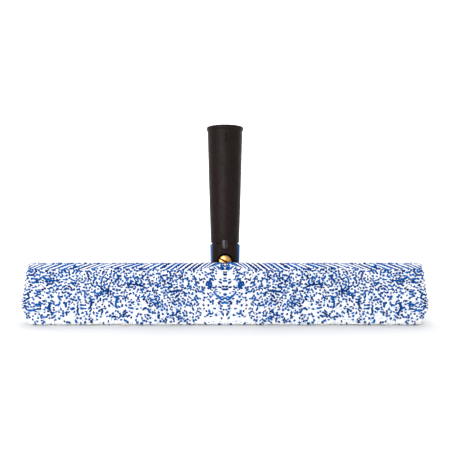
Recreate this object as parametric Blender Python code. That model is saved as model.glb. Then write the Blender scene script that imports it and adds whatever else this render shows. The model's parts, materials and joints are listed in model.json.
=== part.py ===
"""A window tool: a washer head with a pile sleeve in front and a squeegee blade behind, on a swivel handle.

Metres, +Z up. X runs along the head, the sleeve faces -Y and the blade +Y. The tool stands on the sleeve's
underside, which lies at z = 0, and the handle turns about the Y axis of its pivot screw.
"""

import math

import bmesh
import bpy
from mathutils import Euler, Matrix, Vector

MM = 0.001

# Clearances
FIT = 0.3 * MM  # between two pieces that touch
RUN = 0.7 * MM  # beside a piece that swings
THROUGH = 2.0 * MM  # how far a cutter reaches past the face it opens

# T-bar, a moulded bar that is ribbed and open at the back
BAR_LENGTH = 326.0 * MM
BAR_DEPTH = 23.4 * MM
BAR_WALL = 2.4 * MM
BAR_CORNER = 4.0 * MM
RIB = 2.4 * MM
RIB_PITCH = 28.0 * MM
BOSS_RIB = 8.0 * MM
END_POCKET = 8.0 * MM
CAP_PLATE = 5.0 * MM

# Washer sleeve, its hook tapes and its slot for the handle
SLEEVE_FRONT_WALL = 7.3 * MM
SLEEVE_TOP_WALL = 9.4 * MM
SLEEVE_BOTTOM_WALL = 7.9 * MM
SLEEVE_END_WALL = 7.0 * MM
SLEEVE_FLARE = 4.6 * MM
SLEEVE_FLARE_HEIGHT = 15.0 * MM
SLEEVE_TOP_CORNER = Vector((6.2, 9.0)) * MM
SLEEVE_BOTTOM_CORNER = Vector((4.0, 7.0)) * MM
SLOT_MARGIN = 1.2 * MM
HOOK_THICKNESS = 1.0 * MM
HOOK_WIDTH = 15.0 * MM
HOOK_INSET = 3.0 * MM

# Swivel: lug, fork and the pieces on the pivot screw
SWING_LIMIT = math.radians(50)
LUG_THICKNESS = 8.0 * MM
LUG_TOP_OVERHANG = 1.8 * MM  # how much of the lug shows beside the fork
LUG_BASE_OVERHANG = 1.0 * MM
LUG_DROP = 1.6 * MM  # from the grip's shoulder down to the lug's corners
EAR_TRIM = 0.225 * MM  # how far each ear's side is flattened
FRICTION_WASHER_THICKNESS = 0.8 * MM
FRICTION_WASHER_INSET = 1.6 * MM
SCREW_RADIUS = 3.0 * MM
SCREW_HEAD_RADIUS = 5.6 * MM
SCREW_HEAD_HEIGHT = 2.6 * MM
SCREW_SLOT_WIDTH = 1.6 * MM
SCREW_SLOT_DEPTH = 1.4 * MM
SCREW_SLOT_ANGLE = math.radians(30)
SCREW_HEAD_SINK = 1.5 * MM  # from the ear's front down to the screw head
RECESS_GAP = 1.4 * MM  # around the screw head
BUSH_WALL = 1.5 * MM
FLAT_WASHER_THICKNESS = 0.8 * MM
SPRING_WASHER_THICKNESS = 1.5 * MM
SPRING_WASHER_WIDTH = 1.9 * MM
SPRING_WASHER_GAP = math.radians(14)
NUT_ACROSS_FLATS = 10.0 * MM
NUT_HEIGHT = 4.4 * MM
SCREW_END = 1.0 * MM

# Handle, with heights from the pivot
HANDLE_LENGTH = 122.5 * MM
SHOULDER_HEIGHT = 16.2 * MM
GRIP_LOW_RADIUS = 13.0 * MM
GRIP_TOP_RADIUS = 15.2 * MM
GRIP_BULGE = 0.15 * MM
GRIP_WALL = 2.5 * MM
CORE_WALL = 2.4 * MM
LIP_FLARE = 1.4 * MM
LIP_RIM = 1.4 * MM
LIP_RISE = 3.0 * MM
SOCKET_WEB = 7.0 * MM
NIB_HALF_WIDTH = 3.4 * MM
NIB_HALF_HEIGHT = 3.9 * MM
NIB_DROP = 0.6 * MM  # from the grip's shoulder down to the nib's middle
NIB_RISE = 0.9 * MM

# Squeegee, with u along the blade and v across it, both from the blade seat
BLADE_OVERHANG = 7.0 * MM  # how far the blade reaches past each end of the bar
BLADE_TILT = math.radians(30)
CARRIER_PLATE = 3.6 * MM
CARRIER_SETBACK = 6.0 * MM
CARRIER_MARGIN = 0.7 * MM
SEAT_STANDOFF = 4.6 * MM
JAW_WALL = 3.1 * MM
JAW_LIP = 2.5 * MM
JAW_BACK = 2.5 * MM
TEE_THICKNESS = 2.2 * MM
TEE_HALF_WIDTH = 4.6 * MM
NECK_HALF_WIDTH = 2.3 * MM
CHANNEL_DEPTH = 10.0 * MM
CHANNEL_HALF_WIDTH = 4.6 * MM
CHANNEL_CHAMFER = 0.8 * MM
CHANNEL_SETBACK = 1.5 * MM
BULB_START = 2.3 * MM
BULB_DEPTH = 4.4 * MM
BULB_HALF_WIDTH = 2.6 * MM
WEB_HALF_WIDTH = 1.1 * MM
RUBBER_SHOULDER_HALF_WIDTH = 2.3 * MM
RUBBER_SHOULDER_DEPTH = 1.9 * MM
RUBBER_REACH = 14.2 * MM
RUBBER_TIP_HALF_WIDTH = 0.9 * MM
CLIP_THICKNESS = 0.9 * MM
CLIP_WING = 9.0 * MM
CLIP_MARGIN = 0.6 * MM
CARRIER_SCREW_SETBACK = 23.0 * MM  # from the bar's end to the outer screws
CARRIER_SCREW_GAP = 1.5 * MM  # from the jaw to the screw heads
CARRIER_SCREW_EDGE = 0.7 * MM  # from the screw heads to the plate's edge
CARRIER_SCREW_RADIUS = 1.5 * MM
CARRIER_SCREW_BITE = 12.0 * MM
CARRIER_HEAD_RADIUS = 3.1 * MM
CARRIER_HEAD_HEIGHT = 2.0 * MM
CROSS_WIDTH = 0.9 * MM
CROSS_DEPTH = 1.0 * MM

# How finely round shapes are cut
SEGMENTS = 48
SMALL_SEGMENTS = 24
GRIP_RINGS = 8

# Sizes and places that follow from the ones above
EAR_INNER_Y = LUG_THICKNESS / 2 + FRICTION_WASHER_THICKNESS + 2 * FIT
EAR_HALF_WIDTH = math.sqrt(GRIP_LOW_RADIUS**2 - EAR_INNER_Y**2) - EAR_TRIM
LUG_TOP_HALF_WIDTH = EAR_HALF_WIDTH + LUG_TOP_OVERHANG
LUG_BASE_HALF_WIDTH = EAR_HALF_WIDTH + LUG_BASE_OVERHANG
LUG_CORNER_HEIGHT = SHOULDER_HEIGHT - LUG_DROP
NIB_HEIGHT = SHOULDER_HEIGHT - NIB_DROP
FRICTION_WASHER_RADIUS = EAR_HALF_WIDTH - FRICTION_WASHER_INSET
RECESS_RADIUS = SCREW_HEAD_RADIUS + RECESS_GAP
JAW_HALF_WIDTH = TEE_HALF_WIDTH + FIT + JAW_WALL
JAW_OUT = TEE_THICKNESS + FIT + JAW_LIP
JAW_TOP = JAW_BACK * math.sin(BLADE_TILT) + JAW_HALF_WIDTH * math.cos(BLADE_TILT)
CARRIER_SCREW_Z = JAW_TOP + CARRIER_SCREW_GAP + CARRIER_HEAD_RADIUS
CARRIER_HALF_HEIGHT = CARRIER_SCREW_Z + CARRIER_HEAD_RADIUS + CARRIER_SCREW_EDGE
BAR_HEIGHT = 2 * (CARRIER_HALF_HEIGHT + CARRIER_MARGIN)
BAR_Z0 = SLEEVE_BOTTOM_WALL + HOOK_THICKNESS + 2 * FIT
BAR_Z1 = BAR_Z0 + BAR_HEIGHT
BAR_MIDDLE_Z = (BAR_Z0 + BAR_Z1) / 2
PIVOT_Z = BAR_Z1 + RUN + EAR_HALF_WIDTH
SLEEVE_INNER_Y = -(GRIP_LOW_RADIUS + RUN)
BAR_Y0 = SLEEVE_INNER_Y + FIT
BAR_Y1 = BAR_Y0 + BAR_DEPTH
BAR_END = BAR_LENGTH / 2
CAP_END = BAR_END + FIT + CAP_PLATE
CARRIER_SCREW_X = BAR_END - CARRIER_SCREW_SETBACK
SHOULDER_REACH = GRIP_LOW_RADIUS * math.cos(SWING_LIMIT) + SHOULDER_HEIGHT * math.sin(SWING_LIMIT)
SLOT_HALF_LENGTH = SHOULDER_REACH + SLOT_MARGIN
SLEEVE_INNER_X = CAP_END + FIT
SLEEVE_END = SLEEVE_INNER_X + SLEEVE_END_WALL
SLEEVE_INNER_TOP = BAR_Z1 + HOOK_THICKNESS + 2 * FIT
SLEEVE_TOP = SLEEVE_INNER_TOP + SLEEVE_TOP_WALL
PLATE_Y0 = BAR_Y1 + FIT
PLATE_Y1 = PLATE_Y0 + CARRIER_PLATE
LUG_RADIUS = math.hypot(LUG_TOP_HALF_WIDTH, LUG_CORNER_HEIGHT)
SWEEP_RADIUS = LUG_RADIUS + RUN / 2
RECESS_Y = GRIP_LOW_RADIUS - SCREW_HEAD_SINK - SCREW_HEAD_HEIGHT - FIT
SOCKET_FLOOR = SWEEP_RADIUS + SOCKET_WEB
SOCKET_LOW_RADIUS = GRIP_LOW_RADIUS - GRIP_WALL - FIT - CORE_WALL
SOCKET_TOP_RADIUS = GRIP_TOP_RADIUS - GRIP_WALL - FIT - CORE_WALL
CHANNEL_IN = JAW_OUT + FIT
CHANNEL_OUT = CHANNEL_IN + CHANNEL_DEPTH
BLADE_END = BAR_END + BLADE_OVERHANG
CHANNEL_END = BLADE_END - CHANNEL_SETBACK


def clear_scene():
    for thing in list(bpy.data.objects):
        bpy.data.objects.remove(thing, do_unlink=True)


def make_material(name, colour, roughness, metallic=0.0):
    """A plain Principled surface, with its colour in linear values."""
    material = bpy.data.materials.new(name)
    material.use_nodes = True
    shader = material.node_tree.nodes["Principled BSDF"]
    shader.inputs["Base Color"].default_value = (*colour, 1.0)
    shader.inputs["Roughness"].default_value = roughness
    shader.inputs["Metallic"].default_value = metallic
    return material


def make_materials():
    return {
        "blue_plastic": make_material("blue_plastic", (0.011, 0.178, 0.503), 0.4),
        "black_plastic": make_material("black_plastic", (0.021, 0.018, 0.017), 0.55),
        "grip_rubber": make_material("grip_rubber", (0.026, 0.020, 0.018), 0.7),
        "blade_rubber": make_material("blade_rubber", (0.012, 0.012, 0.012), 0.6),
        "brass": make_material("brass", (0.79, 0.52, 0.19), 0.3, 1.0),
        "steel": make_material("steel", (0.55, 0.55, 0.56), 0.35, 1.0),
        "aluminium": make_material("aluminium", (0.62, 0.63, 0.65), 0.3, 1.0),
        "nylon": make_material("nylon", (0.75, 0.73, 0.68), 0.5),
        "hook_tape": make_material("hook_tape", (0.02, 0.06, 0.22), 0.8),
        "sleeve_pile": make_material("sleeve_pile", (0.62, 0.70, 0.88), 0.95),
    }


def add_object(name, bm, material=None, parent=None, location=(0, 0, 0)):
    """Turns a bmesh into an object with outward faces, smooth except across its sharp edges."""
    bmesh.ops.recalc_face_normals(bm, faces=bm.faces)
    if bm.calc_volume(signed=True) < 0:
        bmesh.ops.reverse_faces(bm, faces=bm.faces)
    mesh = bpy.data.meshes.new(name)
    bm.to_mesh(mesh)
    bm.free()
    mesh.shade_smooth()
    mesh.set_sharp_from_angle(angle=math.radians(30))
    if material:
        mesh.materials.append(material)
    thing = bpy.data.objects.new(name, mesh)
    bpy.context.scene.collection.objects.link(thing)
    thing.parent = parent
    thing.location = location
    return thing


def add_empty(name, location, rotation=(0, 0, 0)):
    empty = bpy.data.objects.new(name, None)
    bpy.context.scene.collection.objects.link(empty)
    empty.location = location
    empty.rotation_euler = rotation
    return empty


def combine(target, other, operation):
    """Cuts, joins or intersects the target with another object, which stays as a hidden helper."""
    modifier = target.modifiers.new(other.name, "BOOLEAN")
    modifier.operation = operation
    modifier.object = other
    other.hide_render = True
    other.display_type = "WIRE"


def add_box(bm, low, high):
    """Adds the box between two opposite corners to a bmesh."""
    size = Vector(high) - Vector(low)
    middle = (Vector(high) + Vector(low)) / 2
    bmesh.ops.create_cube(bm, size=1.0, matrix=Matrix.Translation(middle) @ Matrix.Diagonal((*size, 1.0)))


def boxes(*corner_pairs):
    bm = bmesh.new()
    for low, high in corner_pairs:
        add_box(bm, low, high)
    return bm


def prism(outline, along, start, end):
    """Extrudes a closed outline along one axis. The outline holds (y, z), (x, z) or (x, y) pairs."""
    bm = bmesh.new()
    places = {
        "X": lambda point: (start, *point),
        "Y": lambda point: (point[0], start, point[1]),
        "Z": lambda point: (*point, start),
    }
    step = {"X": (end - start, 0, 0), "Y": (0, end - start, 0), "Z": (0, 0, end - start)}[along]
    face = bm.faces.new([bm.verts.new(places[along](point)) for point in outline])
    moved = bmesh.ops.extrude_face_region(bm, geom=[face])
    far = [item for item in moved["geom"] if isinstance(item, bmesh.types.BMVert)]
    bmesh.ops.translate(bm, verts=far, vec=step)
    return bm


def turned(profile, segments=SEGMENTS, axis="Z"):
    """Spins a closed profile of (radius, height) pairs into a solid about the axis."""
    bm = bmesh.new()
    ring = [bm.verts.new((radius, 0, height)) for radius, height in profile]
    edges = [bm.edges.new((ring[i - 1], ring[i])) for i in range(len(ring))]
    bmesh.ops.spin(
        bm,
        geom=ring + edges,
        axis=(0, 0, 1),
        cent=(0, 0, 0),
        angle=math.tau,
        steps=segments,
        use_merge=True,
    )
    bmesh.ops.remove_doubles(bm, verts=bm.verts, dist=0.001 * MM)
    bmesh.ops.dissolve_degenerate(bm, edges=bm.edges, dist=0.001 * MM)
    if axis == "Y":
        bm.transform(Matrix.Rotation(math.radians(-90), 4, "X"))
    return bm


def ring_profile(inner, outer, low, high):
    return [(outer, low), (outer, high), (inner, high), (inner, low)]


def rod_profile(radius, low, high):
    return [(0, low), (radius, low), (radius, high), (0, high)]


def arc(radius, first, last, steps, centre=(0, 0)):
    """Points on an arc, with angles counted from +X towards +Z."""
    angles = [first + (last - first) * i / steps for i in range(steps + 1)]
    return [(centre[0] + radius * math.cos(a), centre[1] + radius * math.sin(a)) for a in angles]


def rounded_outline(low, high, radius, steps=4):
    """A rectangle with round corners, between two opposite corners."""
    quarter = math.pi / 2
    corners = [
        (high[0] - radius, high[1] - radius),
        (low[0] + radius, high[1] - radius),
        (low[0] + radius, low[1] + radius),
        (high[0] - radius, low[1] + radius),
    ]
    points = []
    for turn, corner in enumerate(corners):
        points += arc(radius, turn * quarter, (turn + 1) * quarter, steps, corner)
    return points


def bar_outline(inset=0.0):
    low = (BAR_Y0 + inset, BAR_Z0 + inset)
    high = (BAR_Y1 - inset, BAR_Z1 - inset)
    return rounded_outline(low, high, max(BAR_CORNER - inset, RIB / 2))


def ribs():
    """(middle, half thickness) of each upright wall of the bar from its centre to one end."""
    count = max(1, round(CARRIER_SCREW_X / RIB_PITCH))
    found = [(CARRIER_SCREW_X * i / count, RIB / 2) for i in range(1, count)]
    bosses = [(0.0, BOSS_RIB / 2), (CARRIER_SCREW_X, BOSS_RIB / 2)]
    end_wall = (BAR_END - END_POCKET - RIB / 2, RIB / 2)
    return sorted(found + bosses + [end_wall])


def make_bay_cutter():
    """The hollows between the ribs, all open at the back."""
    low = (BAR_Y0 + BAR_WALL, BAR_Z0 + BAR_WALL)
    high = (BAR_Y1 + THROUGH, BAR_Z1 - BAR_WALL)
    walls = ribs()
    bm = bmesh.new()
    for (x0, half0), (x1, half1) in zip(walls, walls[1:]):
        if x1 - half1 - (x0 + half0) > RIB:
            add_box(bm, (x0 + half0, *low), (x1 - half1, *high))
            add_box(bm, (half1 - x1, *low), (-x0 - half0, *high))
    return add_object("bay_cutter", bm)


def carrier_screw_places():
    """(x, z) of each screw that holds the blade carrier."""
    rows = (BAR_MIDDLE_Z + CARRIER_SCREW_Z, BAR_MIDDLE_Z - CARRIER_SCREW_Z)
    return [(x, z) for z in rows for x in (-CARRIER_SCREW_X, 0.0, CARRIER_SCREW_X)]


def make_screw_hole_cutter(name, start, end):
    """One hole for each carrier screw, between two depths."""
    bm = bmesh.new()
    for x, z in carrier_screw_places():
        hole = Matrix.Translation((x, (start + end) / 2, z)) @ Matrix.Rotation(math.pi / 2, 4, "X")
        bmesh.ops.create_cone(
            bm,
            cap_ends=True,
            segments=SMALL_SEGMENTS,
            radius1=CARRIER_SCREW_RADIUS + FIT,
            radius2=CARRIER_SCREW_RADIUS + FIT,
            depth=end - start,
            matrix=hole,
        )
    return add_object(name, bm)


def make_t_bar(material):
    """The bar and its upright lug, one moulding."""
    bar = add_object("t_bar", prism(bar_outline(), "X", -BAR_END, BAR_END), material)
    corner = math.atan2(LUG_CORNER_HEIGHT, LUG_TOP_HALF_WIDTH)
    base = -(EAR_HALF_WIDTH + RUN + BAR_WALL / 2)
    outline = [(-LUG_BASE_HALF_WIDTH, base), (LUG_BASE_HALF_WIDTH, base)]
    outline += arc(LUG_RADIUS, corner, math.pi - corner, 12)
    lug = add_object("lug", prism(outline, "Y", -LUG_THICKNESS / 2, LUG_THICKNESS / 2))
    lug.location = (0, 0, PIVOT_Z)
    combine(bar, lug, "UNION")
    combine(bar, make_bay_cutter(), "DIFFERENCE")
    pocket = [
        ((side * BAR_END - THROUGH - END_POCKET * (side > 0), BAR_Y0 + BAR_WALL, BAR_Z0 + BAR_WALL),
         (side * BAR_END + THROUGH + END_POCKET * (side < 0), BAR_Y1 - BAR_WALL, BAR_Z1 - BAR_WALL))
        for side in (-1, 1)
    ]
    combine(bar, add_object("end_pocket_cutter", boxes(*pocket)), "DIFFERENCE")
    reach = LUG_THICKNESS / 2 + THROUGH
    bore = turned(rod_profile(SCREW_RADIUS + 2 * FIT + BUSH_WALL, -reach, reach), SMALL_SEGMENTS, "Y")
    combine(bar, add_object("lug_bore_cutter", bore, location=(0, 0, PIVOT_Z)), "DIFFERENCE")
    bite = PLATE_Y1 - CARRIER_SCREW_BITE - FIT
    combine(bar, make_screw_hole_cutter("bar_hole_cutter", bite, PLATE_Y1), "DIFFERENCE")
    return bar


def make_end_cap(name, side, material):
    """A plug that closes one end of the bar."""
    start = side * (BAR_END + FIT)
    cap = add_object(name, prism(bar_outline(), "X", start, side * CAP_END), material)
    inset = BAR_WALL + FIT
    tenon_end = side * (BAR_END - END_POCKET + FIT)
    xs = sorted((tenon_end, side * (BAR_END + FIT + CAP_PLATE / 2)))
    low = (xs[0], BAR_Y0 + inset, BAR_Z0 + inset)
    high = (xs[1], BAR_Y1 - inset, BAR_Z1 - inset)
    combine(cap, add_object(name + "_tenon", boxes((low, high))), "UNION")
    return cap


def sleeve_outline():
    """(x, z) corners of the sleeve seen from the front, with its flared ends."""
    half = [
        (SLEEVE_END - SLEEVE_BOTTOM_CORNER.x, 0.0),
        (SLEEVE_END, SLEEVE_BOTTOM_CORNER.y),
        (SLEEVE_END + SLEEVE_FLARE, SLEEVE_FLARE_HEIGHT),
        (SLEEVE_END, SLEEVE_TOP - SLEEVE_TOP_CORNER.y),
        (SLEEVE_END - SLEEVE_TOP_CORNER.x, SLEEVE_TOP),
    ]
    return half + [(-x, z) for x, z in reversed(half)]


def make_sleeve(material):
    """The pile sleeve: a trough over the bar's front, top, underside and ends, slotted for the handle."""
    front = SLEEVE_INNER_Y - SLEEVE_FRONT_WALL
    sleeve = add_object("washer_sleeve", prism(sleeve_outline(), "Y", front, PLATE_Y1), material)
    hollow = (
        (-SLEEVE_INNER_X, SLEEVE_INNER_Y, SLEEVE_BOTTOM_WALL),
        (SLEEVE_INNER_X, PLATE_Y1 + THROUGH, SLEEVE_INNER_TOP),
    )
    slot = (
        (-SLOT_HALF_LENGTH, SLEEVE_INNER_Y, BAR_MIDDLE_Z),
        (SLOT_HALF_LENGTH, PLATE_Y1 + THROUGH, SLEEVE_TOP + THROUGH),
    )
    combine(sleeve, add_object("sleeve_hollow_cutter", boxes(hollow)), "DIFFERENCE")
    combine(sleeve, add_object("sleeve_slot_cutter", boxes(slot)), "DIFFERENCE")
    return sleeve


def make_hook_tapes(material):
    """Hook tape on top of the bar at each side of the lug, and one length under the bar."""
    middle = (BAR_Y0 + BAR_Y1) / 2
    y0, y1 = middle - HOOK_WIDTH / 2, middle + HOOK_WIDTH / 2
    near, far = SLOT_HALF_LENGTH + HOOK_INSET, BAR_END - HOOK_INSET
    top = (BAR_Z1 + FIT, BAR_Z1 + FIT + HOOK_THICKNESS)
    under = (BAR_Z0 - FIT - HOOK_THICKNESS, BAR_Z0 - FIT)
    tapes = {
        "hook_tape_top_left": ((-far, y0, top[0]), (-near, y1, top[1])),
        "hook_tape_top_right": ((near, y0, top[0]), (far, y1, top[1])),
        "hook_tape_bottom": ((-far, y0, under[0]), (far, y1, under[1])),
    }
    for name, corners in tapes.items():
        add_object(name, boxes(corners), material)


def grip_radius(height):
    """The grip's outer radius at a height above the pivot: a taper with a slight bulge."""
    share = (height - SHOULDER_HEIGHT) / (HANDLE_LENGTH - LIP_RISE - LIP_RIM - SHOULDER_HEIGHT)
    share = min(max(share, 0.0), 1.0)
    straight = GRIP_LOW_RADIUS + (GRIP_TOP_RADIUS - GRIP_LOW_RADIUS) * share
    return straight + 4 * GRIP_BULGE * share * (1 - share)


def grip_heights():
    top = HANDLE_LENGTH - LIP_RISE - LIP_RIM
    return [SHOULDER_HEIGHT + (top - SHOULDER_HEIGHT) * i / GRIP_RINGS for i in range(GRIP_RINGS + 1)]


def core_radius(height):
    return grip_radius(height) - GRIP_WALL - FIT


def make_sweep_cutter(name, pivot):
    """The disc that the lug sweeps inside the fork as the handle swings."""
    disc = turned(rod_profile(SWEEP_RADIUS, -EAR_INNER_Y, EAR_INNER_Y), SEGMENTS, "Y")
    return add_object(name, disc, parent=pivot)


def nib_solid(grow):
    """The oval key on the front of the fork, which stops the grip from turning."""
    back = GRIP_LOW_RADIUS - GRIP_WALL - 2 * FIT
    face = GRIP_LOW_RADIUS + NIB_RISE + grow
    edge = GRIP_LOW_RADIUS + grow
    radius = NIB_HALF_HEIGHT + grow
    profile = [(0, -face), (radius * 0.55, -face + (face - edge) * 0.3), (radius, -edge)]
    profile += [(radius, -back), (0, -back)]
    bm = turned(profile, SMALL_SEGMENTS, "Y")
    width = (NIB_HALF_WIDTH + grow) / radius
    bm.transform(Matrix.Translation((0, 0, NIB_HEIGHT)) @ Matrix.Diagonal((width, 1.0, 1.0, 1.0)))
    return bm


def make_fork_outline_helper(pivot):
    """What the turned core is trimmed to: two flat-sided ears with round ends, and all that is above."""
    top = HANDLE_LENGTH + THROUGH
    wide = GRIP_TOP_RADIUS + THROUGH
    shoulder = SHOULDER_HEIGHT - FIT
    outline = arc(EAR_HALF_WIDTH, math.pi, math.tau, 24)
    outline += [(EAR_HALF_WIDTH, shoulder), (wide, shoulder), (wide, top)]
    outline += [(-wide, top), (-wide, shoulder), (-EAR_HALF_WIDTH, shoulder)]
    reach = GRIP_TOP_RADIUS + THROUGH
    return add_object("fork_outline", prism(outline, "Y", -reach, reach), parent=pivot)


def make_handle_core(material, pivot):
    """The black core: a fork below, and a tapered pole socket that opens at the top."""
    shoulder = SHOULDER_HEIGHT - FIT
    profile = [(0, -EAR_HALF_WIDTH - THROUGH), (GRIP_LOW_RADIUS, -EAR_HALF_WIDTH - THROUGH)]
    profile += [(GRIP_LOW_RADIUS, shoulder), (core_radius(shoulder), shoulder)]
    profile += [(core_radius(height), height) for height in grip_heights()[1:]]
    profile += [(core_radius(HANDLE_LENGTH), HANDLE_LENGTH), (SOCKET_TOP_RADIUS, HANDLE_LENGTH)]
    profile += [(SOCKET_LOW_RADIUS, SOCKET_FLOOR), (0, SOCKET_FLOOR)]
    core = add_object("handle_core", turned(profile), material, pivot)
    combine(core, make_fork_outline_helper(pivot), "INTERSECT")
    combine(core, add_object("nib", nib_solid(0.0), parent=pivot), "UNION")
    combine(core, make_sweep_cutter("fork_slot_cutter", pivot), "DIFFERENCE")
    reach = GRIP_LOW_RADIUS + THROUGH
    bore = turned(rod_profile(SCREW_RADIUS + FIT, -reach, reach), SMALL_SEGMENTS, "Y")
    combine(core, add_object("fork_bore_cutter", bore, parent=pivot), "DIFFERENCE")
    for name, side in (("front_recess_cutter", -1), ("rear_recess_cutter", 1)):
        low, high = sorted((side * RECESS_Y, side * reach))
        recess = turned(rod_profile(RECESS_RADIUS, low, high), SEGMENTS, "Y")
        combine(core, add_object(name, recess, parent=pivot), "DIFFERENCE")
    return core


def make_grip(material, pivot):
    """The rubber grip: a tapered sleeve with a flared lip at the hand end."""
    outer = [(grip_radius(height), height) for height in grip_heights()]
    rim_low = HANDLE_LENGTH - LIP_RIM
    lip = GRIP_TOP_RADIUS + LIP_FLARE
    outer += [(GRIP_TOP_RADIUS + LIP_FLARE * 0.3, rim_low - LIP_RISE * 0.35), (lip, rim_low)]
    outer += [(lip + LIP_RIM * 0.2, rim_low + LIP_RIM * 0.5), (lip, HANDLE_LENGTH)]
    inner = [(core_radius(height) + FIT, height) for height in grip_heights()]
    inner += [(core_radius(HANDLE_LENGTH) + FIT, HANDLE_LENGTH)]
    grip = add_object("rubber_grip", turned(outer + inner[::-1]), material, pivot)
    combine(grip, make_sweep_cutter("grip_sweep_cutter", pivot), "DIFFERENCE")
    combine(grip, add_object("nib_notch_cutter", nib_solid(FIT), parent=pivot), "DIFFERENCE")
    return grip


def nut_place():
    """Depths of the flat washer, the spring washer, the nut and the screw's end, all behind the rear ear."""
    flat = RECESS_Y + FIT
    spring = flat + FLAT_WASHER_THICKNESS + FIT
    nut = spring + SPRING_WASHER_THICKNESS + FIT
    return flat, spring, nut, nut + NUT_HEIGHT + SCREW_END


def make_pivot_screw(material, pivot):
    """A slotted screw whose cheese head sits in the front ear's recess."""
    under_head = -(RECESS_Y + FIT)
    face = under_head - SCREW_HEAD_HEIGHT
    end = nut_place()[3]
    soft = 0.5 * MM
    profile = [(0, face - soft / 2), (SCREW_HEAD_RADIUS - 2 * soft, face), (SCREW_HEAD_RADIUS, face + soft)]
    profile += [(SCREW_HEAD_RADIUS, under_head), (SCREW_RADIUS, under_head)]
    profile += [(SCREW_RADIUS, end - soft), (SCREW_RADIUS - soft, end), (0, end)]
    # Heights run along +Y once the solid is laid over, so the profile keeps its signs.
    screw = add_object("pivot_screw", turned(profile, SMALL_SEGMENTS * 2, "Y"), material, pivot)
    half = SCREW_HEAD_RADIUS + THROUGH
    slot = boxes(
        (
            (-half, face - THROUGH, -SCREW_SLOT_WIDTH / 2),
            (half, face + SCREW_SLOT_DEPTH, SCREW_SLOT_WIDTH / 2),
        )
    )
    cutter = add_object("screw_slot_cutter", slot, parent=pivot)
    cutter.rotation_euler = Euler((0, SCREW_SLOT_ANGLE, 0))
    combine(screw, cutter, "DIFFERENCE")
    return screw


def make_pivot_stack(materials, pivot, head):
    """The bush in the lug, the friction washers beside it, and the washers and nut on the screw."""
    hole = SCREW_RADIUS + FIT
    half = LUG_THICKNESS / 2
    bush = turned(ring_profile(hole, hole + BUSH_WALL, -half, half), SMALL_SEGMENTS, "Y")
    add_object("pivot_bush", bush, materials["brass"], head, (0, 0, PIVOT_Z))
    low = half + FIT
    for name, start in (
        ("friction_washer_front", -low - FRICTION_WASHER_THICKNESS),
        ("friction_washer_rear", low),
    ):
        profile = ring_profile(hole, FRICTION_WASHER_RADIUS, start, start + FRICTION_WASHER_THICKNESS)
        add_object(name, turned(profile, SMALL_SEGMENTS * 2, "Y"), materials["nylon"], pivot)
    flat, spring, nut, _ = nut_place()
    profile = ring_profile(hole, RECESS_RADIUS - 2 * FIT, flat, flat + FLAT_WASHER_THICKNESS)
    add_object("flat_washer", turned(profile, SMALL_SEGMENTS, "Y"), materials["brass"], pivot)
    make_spring_washer(materials["steel"], pivot, hole, spring)
    make_nut(materials["brass"], pivot, hole, nut)


def make_spring_washer(material, pivot, hole, start):
    """A split ring of square section."""
    first, last = SPRING_WASHER_GAP / 2, math.tau - SPRING_WASHER_GAP / 2
    outline = arc(hole + SPRING_WASHER_WIDTH, first, last, SMALL_SEGMENTS)
    outline += arc(hole, last, first, SMALL_SEGMENTS)
    ring = prism(outline, "Y", start, start + SPRING_WASHER_THICKNESS)
    return add_object("spring_washer", ring, material, pivot)


def make_nut(material, pivot, hole, start):
    """A hexagon nut with a plain bore."""
    corner = NUT_ACROSS_FLATS / 2 / math.cos(math.pi / 6)
    hexagon = arc(corner, 0, math.tau * 5 / 6, 5)
    nut = add_object("pivot_nut", prism(hexagon, "Y", start, start + NUT_HEIGHT), material, pivot)
    bore = turned(rod_profile(hole, start - THROUGH, start + NUT_HEIGHT + THROUGH), SMALL_SEGMENTS, "Y")
    combine(nut, add_object("nut_bore_cutter", bore, parent=pivot), "DIFFERENCE")
    return nut


def on_blade(u, v):
    """(y, z) of a place given along and across the blade."""
    y = PLATE_Y1 + SEAT_STANDOFF + u * math.cos(BLADE_TILT) + v * math.sin(BLADE_TILT)
    return y, BAR_MIDDLE_Z - u * math.sin(BLADE_TILT) + v * math.cos(BLADE_TILT)


def carrier_outline():
    """(y, z) corners of the carrier: a plate on the bar's back, and a slotted jaw at the blade's tilt."""
    low, high = BAR_MIDDLE_Z - CARRIER_HALF_HEIGHT, BAR_MIDDLE_Z + CARRIER_HALF_HEIGHT
    meet = (JAW_HALF_WIDTH * math.sin(BLADE_TILT) - SEAT_STANDOFF) / math.cos(BLADE_TILT)
    slot, mouth, roof = TEE_HALF_WIDTH + FIT, NECK_HALF_WIDTH + FIT, TEE_THICKNESS + FIT
    lower_half = [(JAW_OUT, -JAW_HALF_WIDTH), (JAW_OUT, -mouth), (roof, -mouth), (roof, -slot), (-FIT, -slot)]
    upper_half = [(u, -v) for u, v in reversed(lower_half)]
    back_corner = on_blade(-JAW_BACK, JAW_HALF_WIDTH)
    jaw = [(meet, -JAW_HALF_WIDTH)] + lower_half + upper_half
    outline = [(PLATE_Y0, low), (PLATE_Y1, low)] + [on_blade(u, v) for u, v in jaw]
    outline += [back_corner, (PLATE_Y1, back_corner[1]), (PLATE_Y1, high), (PLATE_Y0, high)]
    return outline


def make_carrier(material, head):
    half = BAR_END - CARRIER_SETBACK
    carrier = add_object("blade_carrier", prism(carrier_outline(), "X", -half, half), material, head)
    holes = make_screw_hole_cutter("carrier_hole_cutter", PLATE_Y0 - THROUGH, PLATE_Y1 + THROUGH)
    combine(carrier, holes, "DIFFERENCE")
    return carrier


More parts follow.
